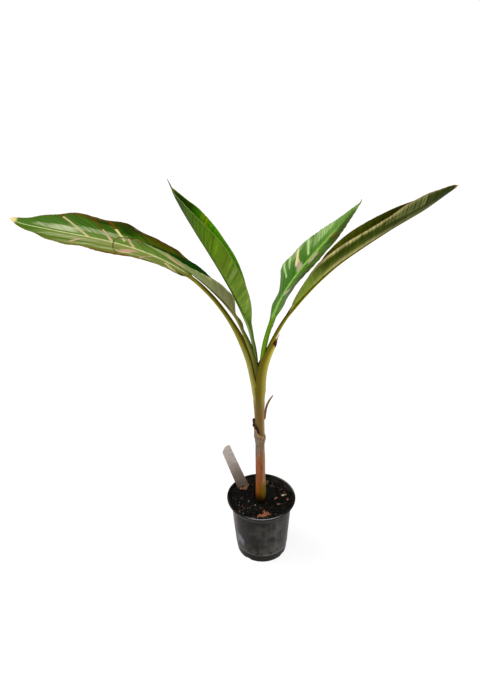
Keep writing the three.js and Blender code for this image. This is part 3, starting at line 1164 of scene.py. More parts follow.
@dataclass
class Stalk:
    """A sheath that grows out of the pseudostem, its petiole, and the leaf's rib.

    The section is an open ring: an outer ellipse from wing to wing, and an inner one
    that lies a wall's thickness inside it. At the foot the ellipse is the pseudostem's
    own. Upwards it shrinks to the petiole's channel, then to the rib.
    """

    name: str
    arch: Arch
    colours: StalkColours
    shell: Triple
    settle: Pair
    roll: Outline = ((0.0, 0.0), (1.0, 0.0))
    twist: Outline = ((0.0, 0.0), (1.0, 0.0))
    below: float = 58.0
    girth: Outline = ((0.0, 3.4), (0.5, 3.3), (1.0, 2.6))
    breadth: float = 1.04
    rib_tip: float = 0.5
    gape: Triple = (104.0, 146.0, 112.0)
    wall: Pair = (2.2, 0.45)
    rib: bool = True
    rib_end: float = 0.992
    rows: int = 260
    sides: int = 24

    def make(self, stem: Stem) -> bpy.types.Object:
        """Makes the stalk.

        Args:
            stem: the pseudostem that the sheath clasps.
        Returns:
            The piece.
        """
        arch, petiole = self.arch, self.arch.petiole
        end = arch.length * self.rib_end if self.rib else petiole
        s = np.linspace(-self.below, end, self.rows)
        above = np.maximum(s, 0.0)
        along, right, _ = arch.axes(above / arch.length)
        settled = smooth(s, *self.settle)
        facing = np.sign(right[0, 1]) * np.array([0.0, 1.0, 0.0])
        across = blend(facing, right, settled[:, None])
        across = unit(across - along * np.sum(across * along, 1, keepdims=True))
        over = np.cross(across, along)
        on_blade = np.clip((s - petiole) / arch.blade, 0, 1) if self.rib else 0.0 * s
        roll = flowing(self.roll, on_blade) * smooth(s, petiole - 30.0, petiole)
        roll = np.radians(roll + flowing(self.twist, s / petiole))
        c, t = np.cos(roll)[:, None], np.sin(roll)[:, None]
        across, over = c * across + t * over, c * over - t * across
        centre_x, half_x, half_y = stem.at(stem.top + s)
        top_x = stem.at(np.array([stem.top]))[0][0]
        base = arch.points(above)
        base[:, 2] += np.minimum(s, 0.0)
        inside = (top_x - arch.start) * half_x / stem.half_x[-1]
        base[:, 0] = np.where(s < 0.0, centre_x - inside, base[:, 0])
        deep = inside * np.sign(over[:, 0])
        up = np.clip(s / petiole, 0.0, 1.0)
        grow_x, grow_y, lift = self.shell
        girth = flowing(self.girth, up)
        a = blend(half_x + grow_x, girth, settled)
        b = blend(half_y + grow_y, self.breadth * girth, settled)
        centre = blend(deep, lift, settled)
        gape = blend(self.gape[0], self.gape[1], settled)
        thick = blend(self.wall[0], 1.12 * girth, settled)
        if self.rib:
            thin = on_blade**0.8
            a, b = blend(a, self.rib_tip, thin), blend(b, self.rib_tip, thin)
            gape = blend(gape, self.gape[2], smooth(on_blade, 0.0, 0.16))
            onto = smooth(s, petiole - 8.0, petiole + 22.0)
            centre = blend(centre, -0.42 * a, onto)
            thick = blend(thick, 1.5 * a, onto)
        else:
            close = blend(0.16, 1.0, 1.0 - smooth(up, 0.8, 0.96))
            a, b = a * close, b * close
        q = np.linspace(-1.0, 1.0, self.sides)
        psi = np.radians(gape)[:, None] * q[None, :]
        rim = np.maximum(np.minimum(thick, 1.6 * a)[:, None] - self.wall[1], 0.0)
        wall = self.wall[1] + rim * (1.0 - np.abs(q) ** 1.7)
        inner_b = b[:, None] - np.minimum(wall, 0.8 * b[:, None])
        outer = self._ellipse(a[:, None], b[:, None], centre[:, None], psi)
        inner = self._ellipse(a[:, None] - wall, inner_b, centre[:, None], psi)
        section = np.concatenate([outer, inner[:, ::-1]], 1)
        side = np.concatenate([q, q[::-1]])[None, :] + 0.0 * section[..., 0]
        rings = base[:, None] + across[:, None] * section[..., :1]
        rings = rings + over[:, None] * section[..., 1:]
        ribs = 0.1 * Swell(3, 30.0)(s[:, None], side * 9.0) * settled[:, None]
        rings = rings + over[:, None] * ribs[..., None]
        marks = np.stack([side, s[:, None] * MM + 0 * side, on_blade[:, None] + 0 * side], -1)
        inner_mark = np.concatenate([0.0 * q, 1.0 + 0.0 * q])[None, :] + 0.0 * side
        surface = tube(rings, {"stalk": marks, "inner": inner_mark}).turn_over()
        finish = StalkFinish(f"stalk_{self.name}", self.colours)
        return surface.make(f"stalk_{self.name}", [finish])

    @staticmethod
    def _ellipse(a: Array, b: Array, centre: Array, psi: Array) -> Array:
        """Points b sin psi across and centre - a cos psi towards the upper face."""
        return np.stack([b * np.sin(psi), centre - a * np.cos(psi)], -1)


# ------------------------------------------------------------------ stem and dry parts


@dataclass
class Pseudostem:
    """The pseudostem: wrapped sheaths with long fibres and overlapping edges."""

    stem: Stem
    rows: int = 190
    sides: int = 96
    fibre: float = 0.14
    seams: tuple[Triple, ...] = ((-62.0, 24.0, 0.55), (118.0, -18.0, 0.55), (10.0, 30.0, 0.4))

    def make(self) -> bpy.types.Object:
        """Makes the stem: ellipse by height, plus fibres and a step at each edge."""
        stem = self.stem
        z = np.linspace(stem.foot - 3.0, stem.top - 6.0, self.rows)
        centre, half_x, half_y = stem.at(z)
        turn = np.linspace(0.0, math.tau, self.sides, endpoint=False)
        t, h = np.meshgrid(turn, z)
        swell = 0.35 + self.fibre * Swell(5, 2.6, 9)(t * 7.0, h * 0.05)
        swell = swell + 0.25 * Swell(6, 60.0)(np.cos(t) * 20, np.sin(t) * 20, h)
        for start, twist, step in self.seams:
            u = (h - stem.foot) / (stem.top - stem.foot)
            off = (t - math.radians(start) - math.radians(twist) * u) % math.tau
            swell = swell + step * (1.0 - smooth(off, 0.0, 2.6)) - step * 0.5
            swell = swell - 0.35 * np.exp(-off / 0.05)
        flare = 0.9 * np.exp(-(h - stem.foot + 3.0) / 4.0)
        x = centre[:, None] + (half_x[:, None] + swell + flare) * np.cos(t)
        y = (half_y[:, None] + swell + flare) * np.sin(t)
        surface = tube(np.stack([x, y, h], -1))
        piece = surface.make("pseudostem_sheaths", [StemFinish()])
        return place(piece, "pseudostem", "pseudostem")


@dataclass
class Collar:
    """The torn dry sheath round the stem: a slanting cuff with one long point below."""

    stem: Stem
    foot: float = 227.0
    point: float = 193.0
    point_turn: float = -15.0
    point_spread: float = 62.0
    top: float = 238.0
    left_rise: float = 20.0
    tear: float = 2.2
    wall: float = 0.45
    reach: float = 166.0
    columns: int = 160
    rows: int = 56

    def make(self) -> bpy.types.Object:
        """Makes the cuff as a closed thin sheet round the stem."""
        turn = np.linspace(-self.reach, self.reach, self.columns)[None, :]
        v = np.linspace(0.0, 1.0, self.rows)[:, None]
        point = 1.0 - smooth(np.abs(turn - self.point_turn), 0.0, self.point_spread)
        ragged = Swell(21, 26.0, 9)(turn, turn * 0.0)
        fine = Swell(22, 7.0, 9)(turn, turn * 0.0)
        high = self.top + self.left_rise * bell(turn, -100.0, 62.0)
        high = high - 9.0 * smooth(turn, -10.0, 60.0) + self.tear * ragged + 0.8 * fine
        low = np.minimum(self.foot + 0.0 * turn, high - 7.0) + 1.2 * ragged
        low = blend(low, self.point, point**1.35) + 0.5 * fine
        height = blend(low, high, v)
        centre, half_x, half_y = self.stem.at(height)
        crease = Swell(23, 17.0, 9)(turn + 0 * v, height * 0.5)
        rim = smooth(height, high - 9.0, high - 5.0)
        lip = smooth(height, high - 7.0, high)
        slack = 0.7 - 0.35 * smooth(turn, 20.0, 80.0) + 0.28 * crease + 0.35 * rim
        slack = slack + 0.9 * lip * (0.6 + 0.3 * ragged)
        slack = slack + 1.3 * bell(turn, -92.0, 26.0) * smooth(height, 238.0, 250.0)
        slack = slack + 0.4 * smooth(height, low + 4.0, low)
        angle = np.radians(turn)
        burnt = 0.75 * smooth(height, high - 2.5, high) + 0.7 * smooth(v, 0.06, 0.0)
        burnt = burnt * (0.5 + 0.5 * ragged) + bell(turn, -70.0, 26.0) * smooth(height, high - 6.0, high)

        def skin(extra: float) -> Array:
            """The cuff's surface at an extra distance from the stem."""
            off = slack + extra
            x = centre + (half_x + off) * np.sin(angle)
            y = -(half_y + off) * np.cos(angle)
            return np.stack([x, y, height + 0 * x], -1)

        rings = np.concatenate([skin(self.wall), skin(0.0)[:, ::-1]], 1)
        marks = {"burnt": burnt, "rim": rim}
        marks = {key: np.concatenate([m, m[:, ::-1]], 1) for key, m in marks.items()}
        piece = sheet(rings, marks).make("sheath_cuff", [DrySheathFinish()])
        return place(piece, "dry_sheath", "sheath_collar")


@dataclass
class Thread:
    """A thin dry tube along points: a leaf's drawn-out tip, a shred or the strip.

    Its section is an ellipse, whose depth is flat times its breadth. The breadth
    changes along it as shape says, in parts of the largest radius.
    """

    path: tuple[Triple, ...]
    radius: float
    shape: Outline = ((0.0, 1.0), (1.0, 0.4))
    flat: float = 1.0
    rough: float = 0.12
    seed: int = 9
    rows: int = 70
    sides: int = 12

    def surface(self) -> Surface:
        """Tube through a smooth curve: cubic pieces with the points' own slopes."""
        knots = np.asarray(self.path, float)
        steps = np.linalg.norm(np.diff(knots, axis=0), axis=1)
        where = np.concatenate([[0.0], np.cumsum(steps)])
        t = np.linspace(0.0, where[-1], self.rows)
        slopes = np.gradient(knots, where, axis=0)
        i = np.clip(np.searchsorted(where, t, side="right") - 1, 0, len(where) - 2)
        span = (where[i + 1] - where[i])[:, None]
        k = ((t - where[i]) / span[:, 0])[:, None]
        line = (
            (2 * k**3 - 3 * k**2 + 1) * knots[i]
            + (k**3 - 2 * k**2 + k) * span * slopes[i]
            + (3 * k**2 - 2 * k**3) * knots[i + 1]
            + (k**3 - k**2) * span * slopes[i + 1]
        )
        along = unit(np.gradient(line, axis=0))
        across = unit(np.cross(np.array([0.0, 1.0, 0.0]), along))
        over = np.cross(along, across)
        turn = np.linspace(0.0, math.tau, self.sides, endpoint=False)
        size = self.radius * flowing(self.shape, np.linspace(0.0, 1.0, self.rows))[:, None]
        bumps = Swell(self.seed, 5.0 * self.radius)(t[:, None], turn[None] * self.radius)
        size = size * (1.0 + self.rough * bumps)
        rings = line[:, None] + across[:, None] * (size * np.cos(turn))[..., None]
        rings = rings + over[:, None] * (size * self.flat * np.sin(turn))[..., None]
        return tube(rings, {"part": np.linspace(0, 1, self.rows)[:, None] + 0 * size * turn})


# ------------------------------------------------------------------ pot, mix and label


@dataclass
class Pot:
    """The round pot: a turned wall with a stepped foot, flared top and rolled lip."""

    height: float = 106.0
    rim: float = 55.5
    bead: float = 1.7
    flare: float = 17.0
    shoulder: float = 48.0
    band: float = 16.5
    step: float = 0.8
    foot: float = 41.2
    wall: float = 1.2
    floor: float = 1.6
    lean: Pair = (2.4, -2.6)
    tip: float = 0.012
    notches: int = 4
    notch_turn: float = 55.0
    notch_size: Triple = (7.0, 8.0, 2.6)
    sides: int = 192

    def outer(self, z: Array | float) -> Array:
        """Outer radius of the straight wall at heights."""
        return blend(self.foot, self.shoulder, np.clip(z / (self.height - self.flare), 0, 1))

    def inner(self, z: Array | float) -> Array:
        """Inner radius at heights, with the flare."""
        k = (z - self.height + self.flare) / (self.flare - 2.0 * self.bead - 0.2)
        run = self.rim - self.bead - self.shoulder - 0.3
        return self.outer(z) + run * np.clip(k, 0.0, 1.0) ** 2.2 - self.wall

    def profile(self) -> Array:
        """Radius and height round the wall: underside, outside, lip, inside, floor."""
        top = self.height - self.flare
        base = self.foot - self.step
        corner = np.radians(np.linspace(-90.0, -8.0, 7))
        foot = np.stack([base - 2.4 + 2.4 * np.cos(corner), 2.4 + 2.4 * np.sin(corner)], 1)
        band_z = np.linspace(4.0, self.band - self.step, 6)
        band = np.stack([self.outer(band_z) - self.step, band_z], 1)
        ledge = np.array(
            [
                [self.outer(self.band) - 0.75 * self.step, self.band - 0.25],
                [self.outer(self.band) - 0.2 * self.step, self.band + 0.15],
                [self.outer(self.band + 0.8), self.band + 0.9],
            ]
        )
        wall_z = np.linspace(self.band + 3.0, top, 14)
        wall = np.stack([self.outer(wall_z), wall_z], 1)
        k = np.linspace(0.0, 1.0, 14)[1:]
        flare_r = self.shoulder + (self.rim - self.bead - self.shoulder - 0.3) * k**2.2
        flare_z = top + (self.flare - 2.0 * self.bead - 0.2) * k
        flare = np.stack([flare_r, flare_z], 1)
        turn = np.radians(np.linspace(-78.0, 176.0, 15))
        middle, high = self.rim - self.bead, self.height - self.bead
        lip = np.stack([middle + self.bead * np.cos(turn), high + self.bead * np.sin(turn)], 1)
        inside = flare[::-1] - np.array([self.wall, -0.4])
        inner_z = wall_z[::-1]
        inner = np.stack([self.outer(inner_z) - self.wall - self.step, inner_z], 1)
        base_in = self.outer(4.0) - self.wall - self.step
        floor_r = np.array([base_in, base_in - 1.5, 30.0, 15.0])
        floor_z = np.array([6.0, self.floor + 0.6, self.floor, self.floor])
        floor = np.stack([floor_r, floor_z], 1)
        under = np.stack([np.array([15.0, 30.0, base - 5.0]), np.zeros(3)], 1)
        return np.concatenate([under, foot, band, ledge, wall, flare, lip, inside, inner, floor])

    def make(self) -> bpy.types.Object:
        """Turns the profile about +Z, notches its foot, and leans it a little."""
        profile = self.profile()
        turn = np.linspace(0.0, math.tau, self.sides, endpoint=False)
        r = profile[:, 0][:, None] + 0.0 * turn
        z = profile[:, 1][:, None] + 0.0 * turn
        depth, width, high = self.notch_size
        for i in range(self.notches):
            middle = math.radians(self.notch_turn + i * 360.0 / self.notches)
            off = (turn - middle + math.pi) % math.tau - math.pi
            arch = 1.0 - smooth(np.abs(off) * self.foot, 0.42 * width, 0.58 * width)
            inward = smooth(r, self.foot - depth - 1.2, self.foot - depth + 1.2)
            lift = high * arch[None, :] * inward
            z = np.maximum(z, np.where(z < 1.62, lift, np.minimum(lift + 1.2, 9.0) * (lift > 0.1)))
        wobble = 0.12 * Swell(41, 60.0)(r * np.cos(turn), r * np.sin(turn), z)
        low = 1.0 - z / self.height
        x = (r + wobble) * np.cos(turn) + self.lean[0] * low
        y = (r + wobble) * np.sin(turn) + self.lean[1] * low
        z = z + self.tip * y * (1.0 - low)
        surface = tube(np.stack([x, y, z], -1))
        surface.points[-2] = [*self.lean, 0.0]
        surface.points[-1] = [*self.lean, self.floor]
        piece = surface.make("pot_shell", [PotFinish()])
        return place(piece, "pot", "pot")


@dataclass(frozen=True)
class Chip:
    """A bark chip on the mix."""

    x: float
    y: float
    length: float
    width: float
    turn: float
    tint: float = 0.0
    rise: float = 1.0
    tilt: float = 12.0


@dataclass(frozen=True)
class Cluster:
    """A place where white grains gather: its middle, its spread and how many."""

    x: float
    y: float
    spread: Pair
    count: int


@dataclass
class PottingMix:
    """The mix: an uneven bed, crumbs all over it, white grains and bark chips."""

    pot: Pot
    level: float = 94.0
    flat: float = 13.0
    rough: float = 1.6
    wall_rise: float = 3.6
    rings: int = 90
    sides: int = 180
    crumbs: int = 1700
    clusters: tuple[Cluster, ...] = (
        Cluster(-33, -12, (11, 13), 84),
        Cluster(22, 38, (8, 5), 24),
        Cluster(0, 0, (30, 30), 70),
    )
    chips: tuple[Chip, ...] = ()
    crumb_reach: float = 48.0
    grain_reach: float = 47.5
    grain_gap: float = 11.0

    def top(self, x: Array, y: Array) -> Array:
        """Height of the bed: level, ripples away from the stem, lumps, and the rim.

        It climbs the wall a little all round, and a small heap lies behind on the left.
        """
        r = np.hypot(x, y)
        away = smooth(r, self.flat, 2.0 * self.flat)
        ripple = np.sin(x / 7.0 + 1.0) * np.cos(y / 6.0) + np.sin((x - y) / 9.0)
        lumps = 0.5 * Swell(51, 7.0, 12)(x, y) + 0.3 * Swell(52, 3.0, 14)(x, y)
        heap = 2.2 * np.exp(-((x + 27.0) ** 2 + (y - 29.0) ** 2) / 160.0)
        climb = self.wall_rise * smooth(r, 32.0, 50.0)
        return self.level + 0.5 * self.rough * away * ripple + 0.9 * lumps + heap + climb

    def make(self) -> list[bpy.types.Object]:
        """Makes the bed, crumbs, white grains and chips."""
        bed = self._bed()
        finish = MixFinish("mix_bed", tone(9, 8, 7), tone(30, 24, 19))
        pieces = [place(bed.make("mix_bed", [finish]), "potting_mix", "potting_mix")]
        draw = np.random.default_rng(61)
        radius = self.crumb_reach * np.sqrt(draw.uniform(0.03, 1.0, self.crumbs))
        turn = draw.uniform(0.0, math.tau, self.crumbs)
        spots = np.stack([radius * np.cos(turn), radius * np.sin(turn)], 1)
        crumbs = self._scatter(draw, spots, (0.7, 2.6), 0.7, 30.0)
        crumb = MixFinish("mix_crumbs", tone(20, 20, 18), tone(120, 74, 44))
        pieces.append(place(crumbs.make("mix_crumbs", [crumb]), "potting_mix"))
        spots = np.concatenate(
            [
                np.array([c.x, c.y]) + draw.normal(size=(c.count, 2)) * np.array(c.spread)
                for c in self.clusters
            ]
        )
        away = np.hypot(*spots.T)
        spots = spots[(away < self.grain_reach) & (away > self.grain_gap)]
        white = self._scatter(draw, spots, (0.4, 1.3), 0.85, 2.6)
        pale = MixFinish("mix_grains", tone(60, 60, 56), tone(196, 194, 188))
        pieces.append(place(white.make("mix_grains", [pale]), "potting_mix"))
        chips = Surface.join([self._chip(chip, i) for i, chip in enumerate(self.chips)])
        pieces.append(place(chips.make("bark_chips", [BarkFinish()]), "potting_mix"))
        return pieces

    def _bed(self) -> Surface:
        """Bed out to the wall, closed below through the pot's inside."""
        outer = float(self.pot.inner(self.level + self.wall_rise)) + 0.35
        k = np.linspace(1.0, 0.0, self.rings, endpoint=False)
        turn = np.linspace(0.0, math.tau, self.sides, endpoint=False)
        r = (outer * k)[:, None]
        x, y = r * np.cos(turn), r * np.sin(turn)
        z = self.top(x, y)
        low = ((39.0, 5.0), (44.0, 70.0))
        lower = [
            np.stack([radius * np.cos(turn), radius * np.sin(turn), height + 0 * turn], -1)
            for radius, height in low
        ]
        rings = np.concatenate([np.stack(lower), np.stack([x, y, z], -1)])
        tint = 0.35 * smooth(Swell(53, 9.0)(rings[..., 0], rings[..., 1]), 0.2, 1.0)
        return tube(rings, {"tint": tint})

    def _scatter(
        self, draw: np.random.Generator, spots: Array, size: Pair, squash: float, rare: float
    ) -> Surface:
        """Scatters small lumps over the bed.

        Each lump is a ball of 42 points, pushed in and out at random, squashed, and
        turned by a random rotation.

        Args:
            draw: source of random numbers.
            spots: x and y of each lump.
            size: smallest and largest radius.
            squash: height of a lump as a fraction of its width.
            rare: how rare the lighter tints are, as a power.
        Returns:
            All lumps as one surface, with the field tint.
        """
        ball, faces = self._ball()
        count = len(spots)
        x, y = spots.T
        scale = blend(*size, draw.uniform(0.0, 1.0, count) ** 2.6)
        shape = ball[None] * (1.0 + 0.22 * draw.normal(size=(count, len(ball), 1)))
        stretch = draw.uniform(0.6, 1.25, (count, 1, 3)) * np.array([1.0, 1.0, squash])
        spin = self._rotations(unit(draw.normal(size=(count, 4))))
        lumps = np.einsum("nij,nkj->nki", spin, shape * stretch * scale[:, None, None])
        high = self.top(x, y) + 0.25 * scale
        lumps = lumps + np.stack([x, y, high], -1)[:, None]
        starts = (np.arange(count) * len(ball))[:, None, None]
        tint = np.repeat(draw.uniform(0.0, 1.0, count) ** rare, len(ball))
        return Surface(
            lumps.reshape(-1, 3),
            tris=(faces[None] + starts).reshape(-1, 3),
            fields={"tint": tint},
        )

    @staticmethod
    def _rotations(q: Array) -> Array:
        """Rotation matrices of unit quaternions."""
        w, x, y, z = q.T
        return np.stack(
            [
                np.stack([1 - 2 * (y * y + z * z), 2 * (x * y - w * z), 2 * (x * z + w * y)], -1),
                np.stack([2 * (x * y + w * z), 1 - 2 * (x * x + z * z), 2 * (y * z - w * x)], -1),
                np.stack([2 * (x * z - w * y), 2 * (y * z + w * x), 1 - 2 * (x * x + y * y)], -1),
            ],
            -2,
        )

    @staticmethod
    def _ball() -> tuple[Array, Array]:
        """A ball of 42 points and 80 triangles: an icosahedron, each edge halved."""
        g = (1.0 + math.sqrt(5.0)) / 2.0
        points = unit(
            np.array(
                [
                    [-1, g, 0], [1, g, 0], [-1, -g, 0], [1, -g, 0],
                    [0, -1, g], [0, 1, g], [0, -1, -g], [0, 1, -g],
                    [g, 0, -1], [g, 0, 1], [-g, 0, -1], [-g, 0, 1],
                ],
                float,
            )
        )
        near = np.linalg.norm(points[:, None] - points[None], axis=-1) < 1.1
        i, j, k = np.meshgrid(*[np.arange(12)] * 3, indexing="ij")
        keep = (i < j) & (j < k) & near[i, j] & near[j, k] & near[i, k]
        faces = np.stack([i[keep], j[keep], k[keep]], -1)
        a, b, c = points[faces].transpose(1, 0, 2)
        out = np.sum(np.cross(b - a, c - a) * (a + b + c), -1) > 0
        faces = np.where(out[:, None], faces, faces[:, ::-1])
        pairs = np.sort(np.concatenate([faces[:, [0, 1]], faces[:, [1, 2]], faces[:, [2, 0]]]), 1)
        edges, back = np.unique(pairs, axis=0, return_inverse=True)
        middle = unit(points[edges].mean(1))
        ab, bc, ca = (back.reshape(3, -1) + len(points))
        f = faces.T
        small = [(f[0], ab, ca), (f[1], bc, ab), (f[2], ca, bc), (ab, bc, ca)]
        return np.concatenate([points, middle]), np.concatenate([np.stack(s, 1) for s in small])

    def _chip(self, chip: Chip, seed: int) -> Surface:
        """A flat, ragged chip: a tube of rounded boxes along its length."""
        rows, sides = 16, 14
        u = np.linspace(-1.0, 1.0, rows)[:, None]
        turn = np.linspace(0.0, math.tau, sides, endpoint=False)[None, :]
        ragged = Swell(200 + seed, 0.9, 8)(u, np.cos(turn))
        body = (1.0 - np.abs(u) ** 5) ** 0.5 * 0.92 + 0.08
        cosine, sine = np.cos(turn), np.sin(turn)
        y = 0.5 * chip.width * body * np.sign(cosine) * np.abs(cosine) ** 0.7 * (1 + 0.25 * ragged)
        z = 0.22 * chip.width * body * np.sign(sine) * np.abs(sine) ** 0.7 * (1 + 0.35 * ragged)
        x = 0.5 * chip.length * u * (1.0 + 0.08 * ragged) + 0.0 * turn
        t, k = math.radians(chip.turn), math.radians(chip.tilt)
        x, z = x * math.cos(k) - z * math.sin(k), x * math.sin(k) + z * math.cos(k)
        px = chip.x + x * math.cos(t) - y * math.sin(t)
        py = chip.y + x * math.sin(t) + y * math.cos(t)
        high = float(self.top(np.array(chip.x), np.array(chip.y))) + chip.rise
        rings = np.stack([px, py, high + z], -1)
        return tube(rings, {"tint": chip.tint + 0.0 * px})


@dataclass
class PlantLabel:
    """The blank label: a thin strip with a slanting rounded top, a bow and a twist."""

    foot: Pair = (-27.8, 31.5)
    level: float = 94.0
    turn: Pair = (8.0, 30.0)
    lean: float = 18.7
    width: Pair = (18.8, 15.4)
    above: float = 106.5
    below: float = 24.0
    point: float = 14.0
    thickness: float = 0.8
    bow: float = 0.6
    sag: float = 0.8
    mean_turn: float = 28.0
    crown: Outline = ((-1.0, 8.5), (-0.8, 5.5), (-0.15, 0.8), (0.75, 0.2), (1.0, 2.0))
    rows: int = 90
    columns: int = 24

    def make(self) -> bpy.types.Object:
        """Makes the strip in rows, each turned a little more about it than the last."""
        t = np.linspace(0.0, 1.0, self.rows)[:, None]
        edge, drop = np.array(self.crown).T
        x = np.linspace(-1.0, 1.0, self.columns)[None, :]
        low = -self.below + self.point * np.abs(x)
        high = self.above - np.interp(x, edge, drop)
        h = blend(low, high, t)
        up = np.clip(h / self.above, 0.0, 1.0)
        w = 0.5 * blend(*self.width, up) * x
        bowed = self.bow * (1.0 - x**2) + self.sag * np.sin(math.pi * up) + 0.0 * w
        faces = [np.stack([w, bowed + k * self.thickness, h], -1) for k in (0.5, -0.5)]
        ring = np.concatenate([faces[0], faces[1][:, ::-1]], 1)
        up = np.concatenate([up, up[:, ::-1]], 1)
        wide, deep, high = ring[..., 0], ring[..., 1], ring[..., 2]
        lean, turn = math.radians(self.lean), np.radians(blend(*self.turn, up))
        side = wide * math.cos(lean)
        mid = math.radians(self.mean_turn)
        px = side * np.cos(turn) - deep * np.sin(turn) - high * math.sin(lean) * math.cos(mid)
        py = side * np.sin(turn) + deep * np.cos(turn) - high * math.sin(lean) * math.sin(mid)
        pz = high * math.cos(lean) + wide * math.sin(lean)
        shift = np.array([*self.foot, self.level])
        surface = sheet(np.stack([px, py, pz], -1) + shift).turn_over()
        piece = surface.make("blank_label", [LabelFinish()])
        return place(piece, "plant_label", "plant_label")


# ------------------------------------------------------------------ studio


@dataclass(frozen=True)
class Lamp:
    """A wide, far light, given by where it stands as seen from the plant."""

    name: str
    turn: float
    height: float
    strength: float
    breadth: float


@dataclass
class Studio:
    """A plain pale floor, soft light and the camera."""

    camera_place: Triple = (-0.0345, -1.007, 1.016)
    camera_tilt: float = 58.7
    lens: float = 43.48
    floor_size: float = 60.0
    surround: float = 0.2
    lamps: tuple[Lamp, ...] = (
        Lamp("key", -100.0, 52.0, 2.1, 38.0),
        Lamp("top", -20.0, 68.0, 1.1, 50.0),
        Lamp("fill", 62.0, 32.0, 0.5, 50.0),
    )

    def make(self) -> None:
        """Makes the floor, the lights, the surround and the camera."""
        self._floor()
        self._backdrop()
        for lamp in self.lamps:
            self._light(lamp)
        world = bpy.data.worlds.new("studio")
        bpy.context.scene.world = world
        world.use_nodes = True
        sky = world.node_tree.nodes["Background"]
        sky.inputs[0].default_value = (1.0, 1.0, 1.0, 1.0)
        sky.inputs[1].default_value = self.surround
        scene = bpy.context.scene
        scene.view_settings.view_transform = "Standard"
        scene.view_settings.look = "None"
        self._camera()

    def _floor(self) -> None:
        """A pale floor just under the pot."""
        size = self.floor_size / 2.0
        mesh = bpy.data.meshes.new("floor")
        corners = [(-size, -size, 0), (size, -size, 0), (size, size, 0), (-size, size, 0)]
        mesh.from_pydata(corners, [], [(0, 1, 2, 3)])
        floor = bpy.data.objects.new("floor", mesh)
        finish = Finish("floor_paper")
        finish.dress(
            Base_Color=(0.18, 0.18, 0.18, 1.0),
            Roughness=1.0,
            Specular_IOR_Level=0.0,
            Emission_Color=(1.0, 1.0, 1.0, 1.0),
            Emission_Strength=0.87,
        )
        mesh.materials.append(finish.material)
        bpy.context.scene.collection.objects.link(floor)

    def _backdrop(self) -> None:
        """A pale round wall far away, which only the camera sees."""
        radius, height, sides = 0.45 * self.floor_size, self.floor_size, 96
        turn = np.linspace(0.0, math.tau, sides, endpoint=False)
        ring = np.stack([radius * np.cos(turn), radius * np.sin(turn)], -1)
        points = np.concatenate([np.insert(ring, 2, z, axis=1) for z in (0.0, height)])
        mesh = bpy.data.meshes.new("backdrop")
        mesh.from_pydata(points.tolist(), [], ring_quads(2, sides).tolist())
        wall = bpy.data.objects.new("backdrop", mesh)
        finish = Finish("backdrop_paper")
        finish.dress(
            Base_Color=(0.0, 0.0, 0.0, 1.0),
            Specular_IOR_Level=0.0,
            Emission_Color=(1.0, 1.0, 1.0, 1.0),
            Emission_Strength=0.95,
        )
        mesh.materials.append(finish.material)
        for ray in ("diffuse", "glossy", "transmission", "volume_scatter", "shadow"):
            setattr(wall, f"visible_{ray}", False)
        bpy.context.scene.collection.objects.link(wall)

    @staticmethod
    def _light(lamp: Lamp) -> None:
        """A sun lamp that shines from its turn, rightwards from the front, and height."""
        data = bpy.data.lights.new(lamp.name, "SUN")
        data.energy = lamp.strength
        data.angle = math.radians(lamp.breadth)
        light = bpy.data.objects.new(lamp.name, data)
        light.rotation_euler = (
            math.radians(90.0 - lamp.height),
            0.0,
            math.radians(lamp.turn),
        )
        light.location = (0.0, 0.0, 2.0)
        bpy.context.scene.collection.objects.link(light)

    def _camera(self) -> None:
        """The camera, level and pitched down."""
        data = bpy.data.cameras.new("camera")
        data.lens = self.lens
        data.sensor_width = 36.0
        camera = bpy.data.objects.new("camera", data)
        camera.location = self.camera_place
        camera.rotation_euler = (math.radians(self.camera_tilt), 0.0, 0.0)
        bpy.context.scene.collection.objects.link(camera)
        bpy.context.scene.camera = camera


# ------------------------------------------------------------------ the plant


ARCHES = {
    "outer_left": Arch(
        -15, 172.5, -22.5, (10.5, 91.5), 2.05, 5.25, 202, 310,
        (Nudge(512, 14, (0, 0, 4.5)), Nudge(45, 26, (1.0, 0, 0)), Nudge(150, 45, (-0.6, 0, -0.9))),
    ),
    "inner_left": Arch(
        -11.6, 196.5, -9, (-4.5, 58.5), 0.74, 1, 133, 178,
        (Nudge(140, 45, (1.6, 0, 1.6)), Nudge(262, 40, (0, 0, -3))),
    ),
    "back_left": Arch(
        -8, 165.5, -51, (0, 61), 1.55, 2.64, 106, 241, (Nudge(40, 34, (-1.1, 0, 0)),)
    ),
    "inner_right": Arch(
        -4.6, -1.5, 37, (3.5, 52), 2.4, 3.85, 111, 215, (Nudge(50, 40, (-0.9, 0, 0)),)
    ),
    "outer_right": Arch(
        -0.7, -12.5, 38, (-0.5, 65.5), 1.13, 2.13, 135, 294,
        (Nudge(225, 50, (-0.8, 0, 1.5)), Nudge(368, 34, (0.8, 0, -2.2))),
    ),
    "stub": Arch(3.1, -12.5, 0, (-0.5, 22), 1, 1, 97, 0.001),
}

ROLLS: dict[str, Outline] = {
    "outer_left": ((0, -11), (1, 24.5)),
    "inner_left": ((0, -21), (0.5, -1), (0.75, -1), (1, 0)),
    "back_left": ((0, -22.5), (1, 8)),
    "inner_right": ((0, 8), (1, -1.5)),
    "outer_right": ((0, -1), (1, -8.5)),
}


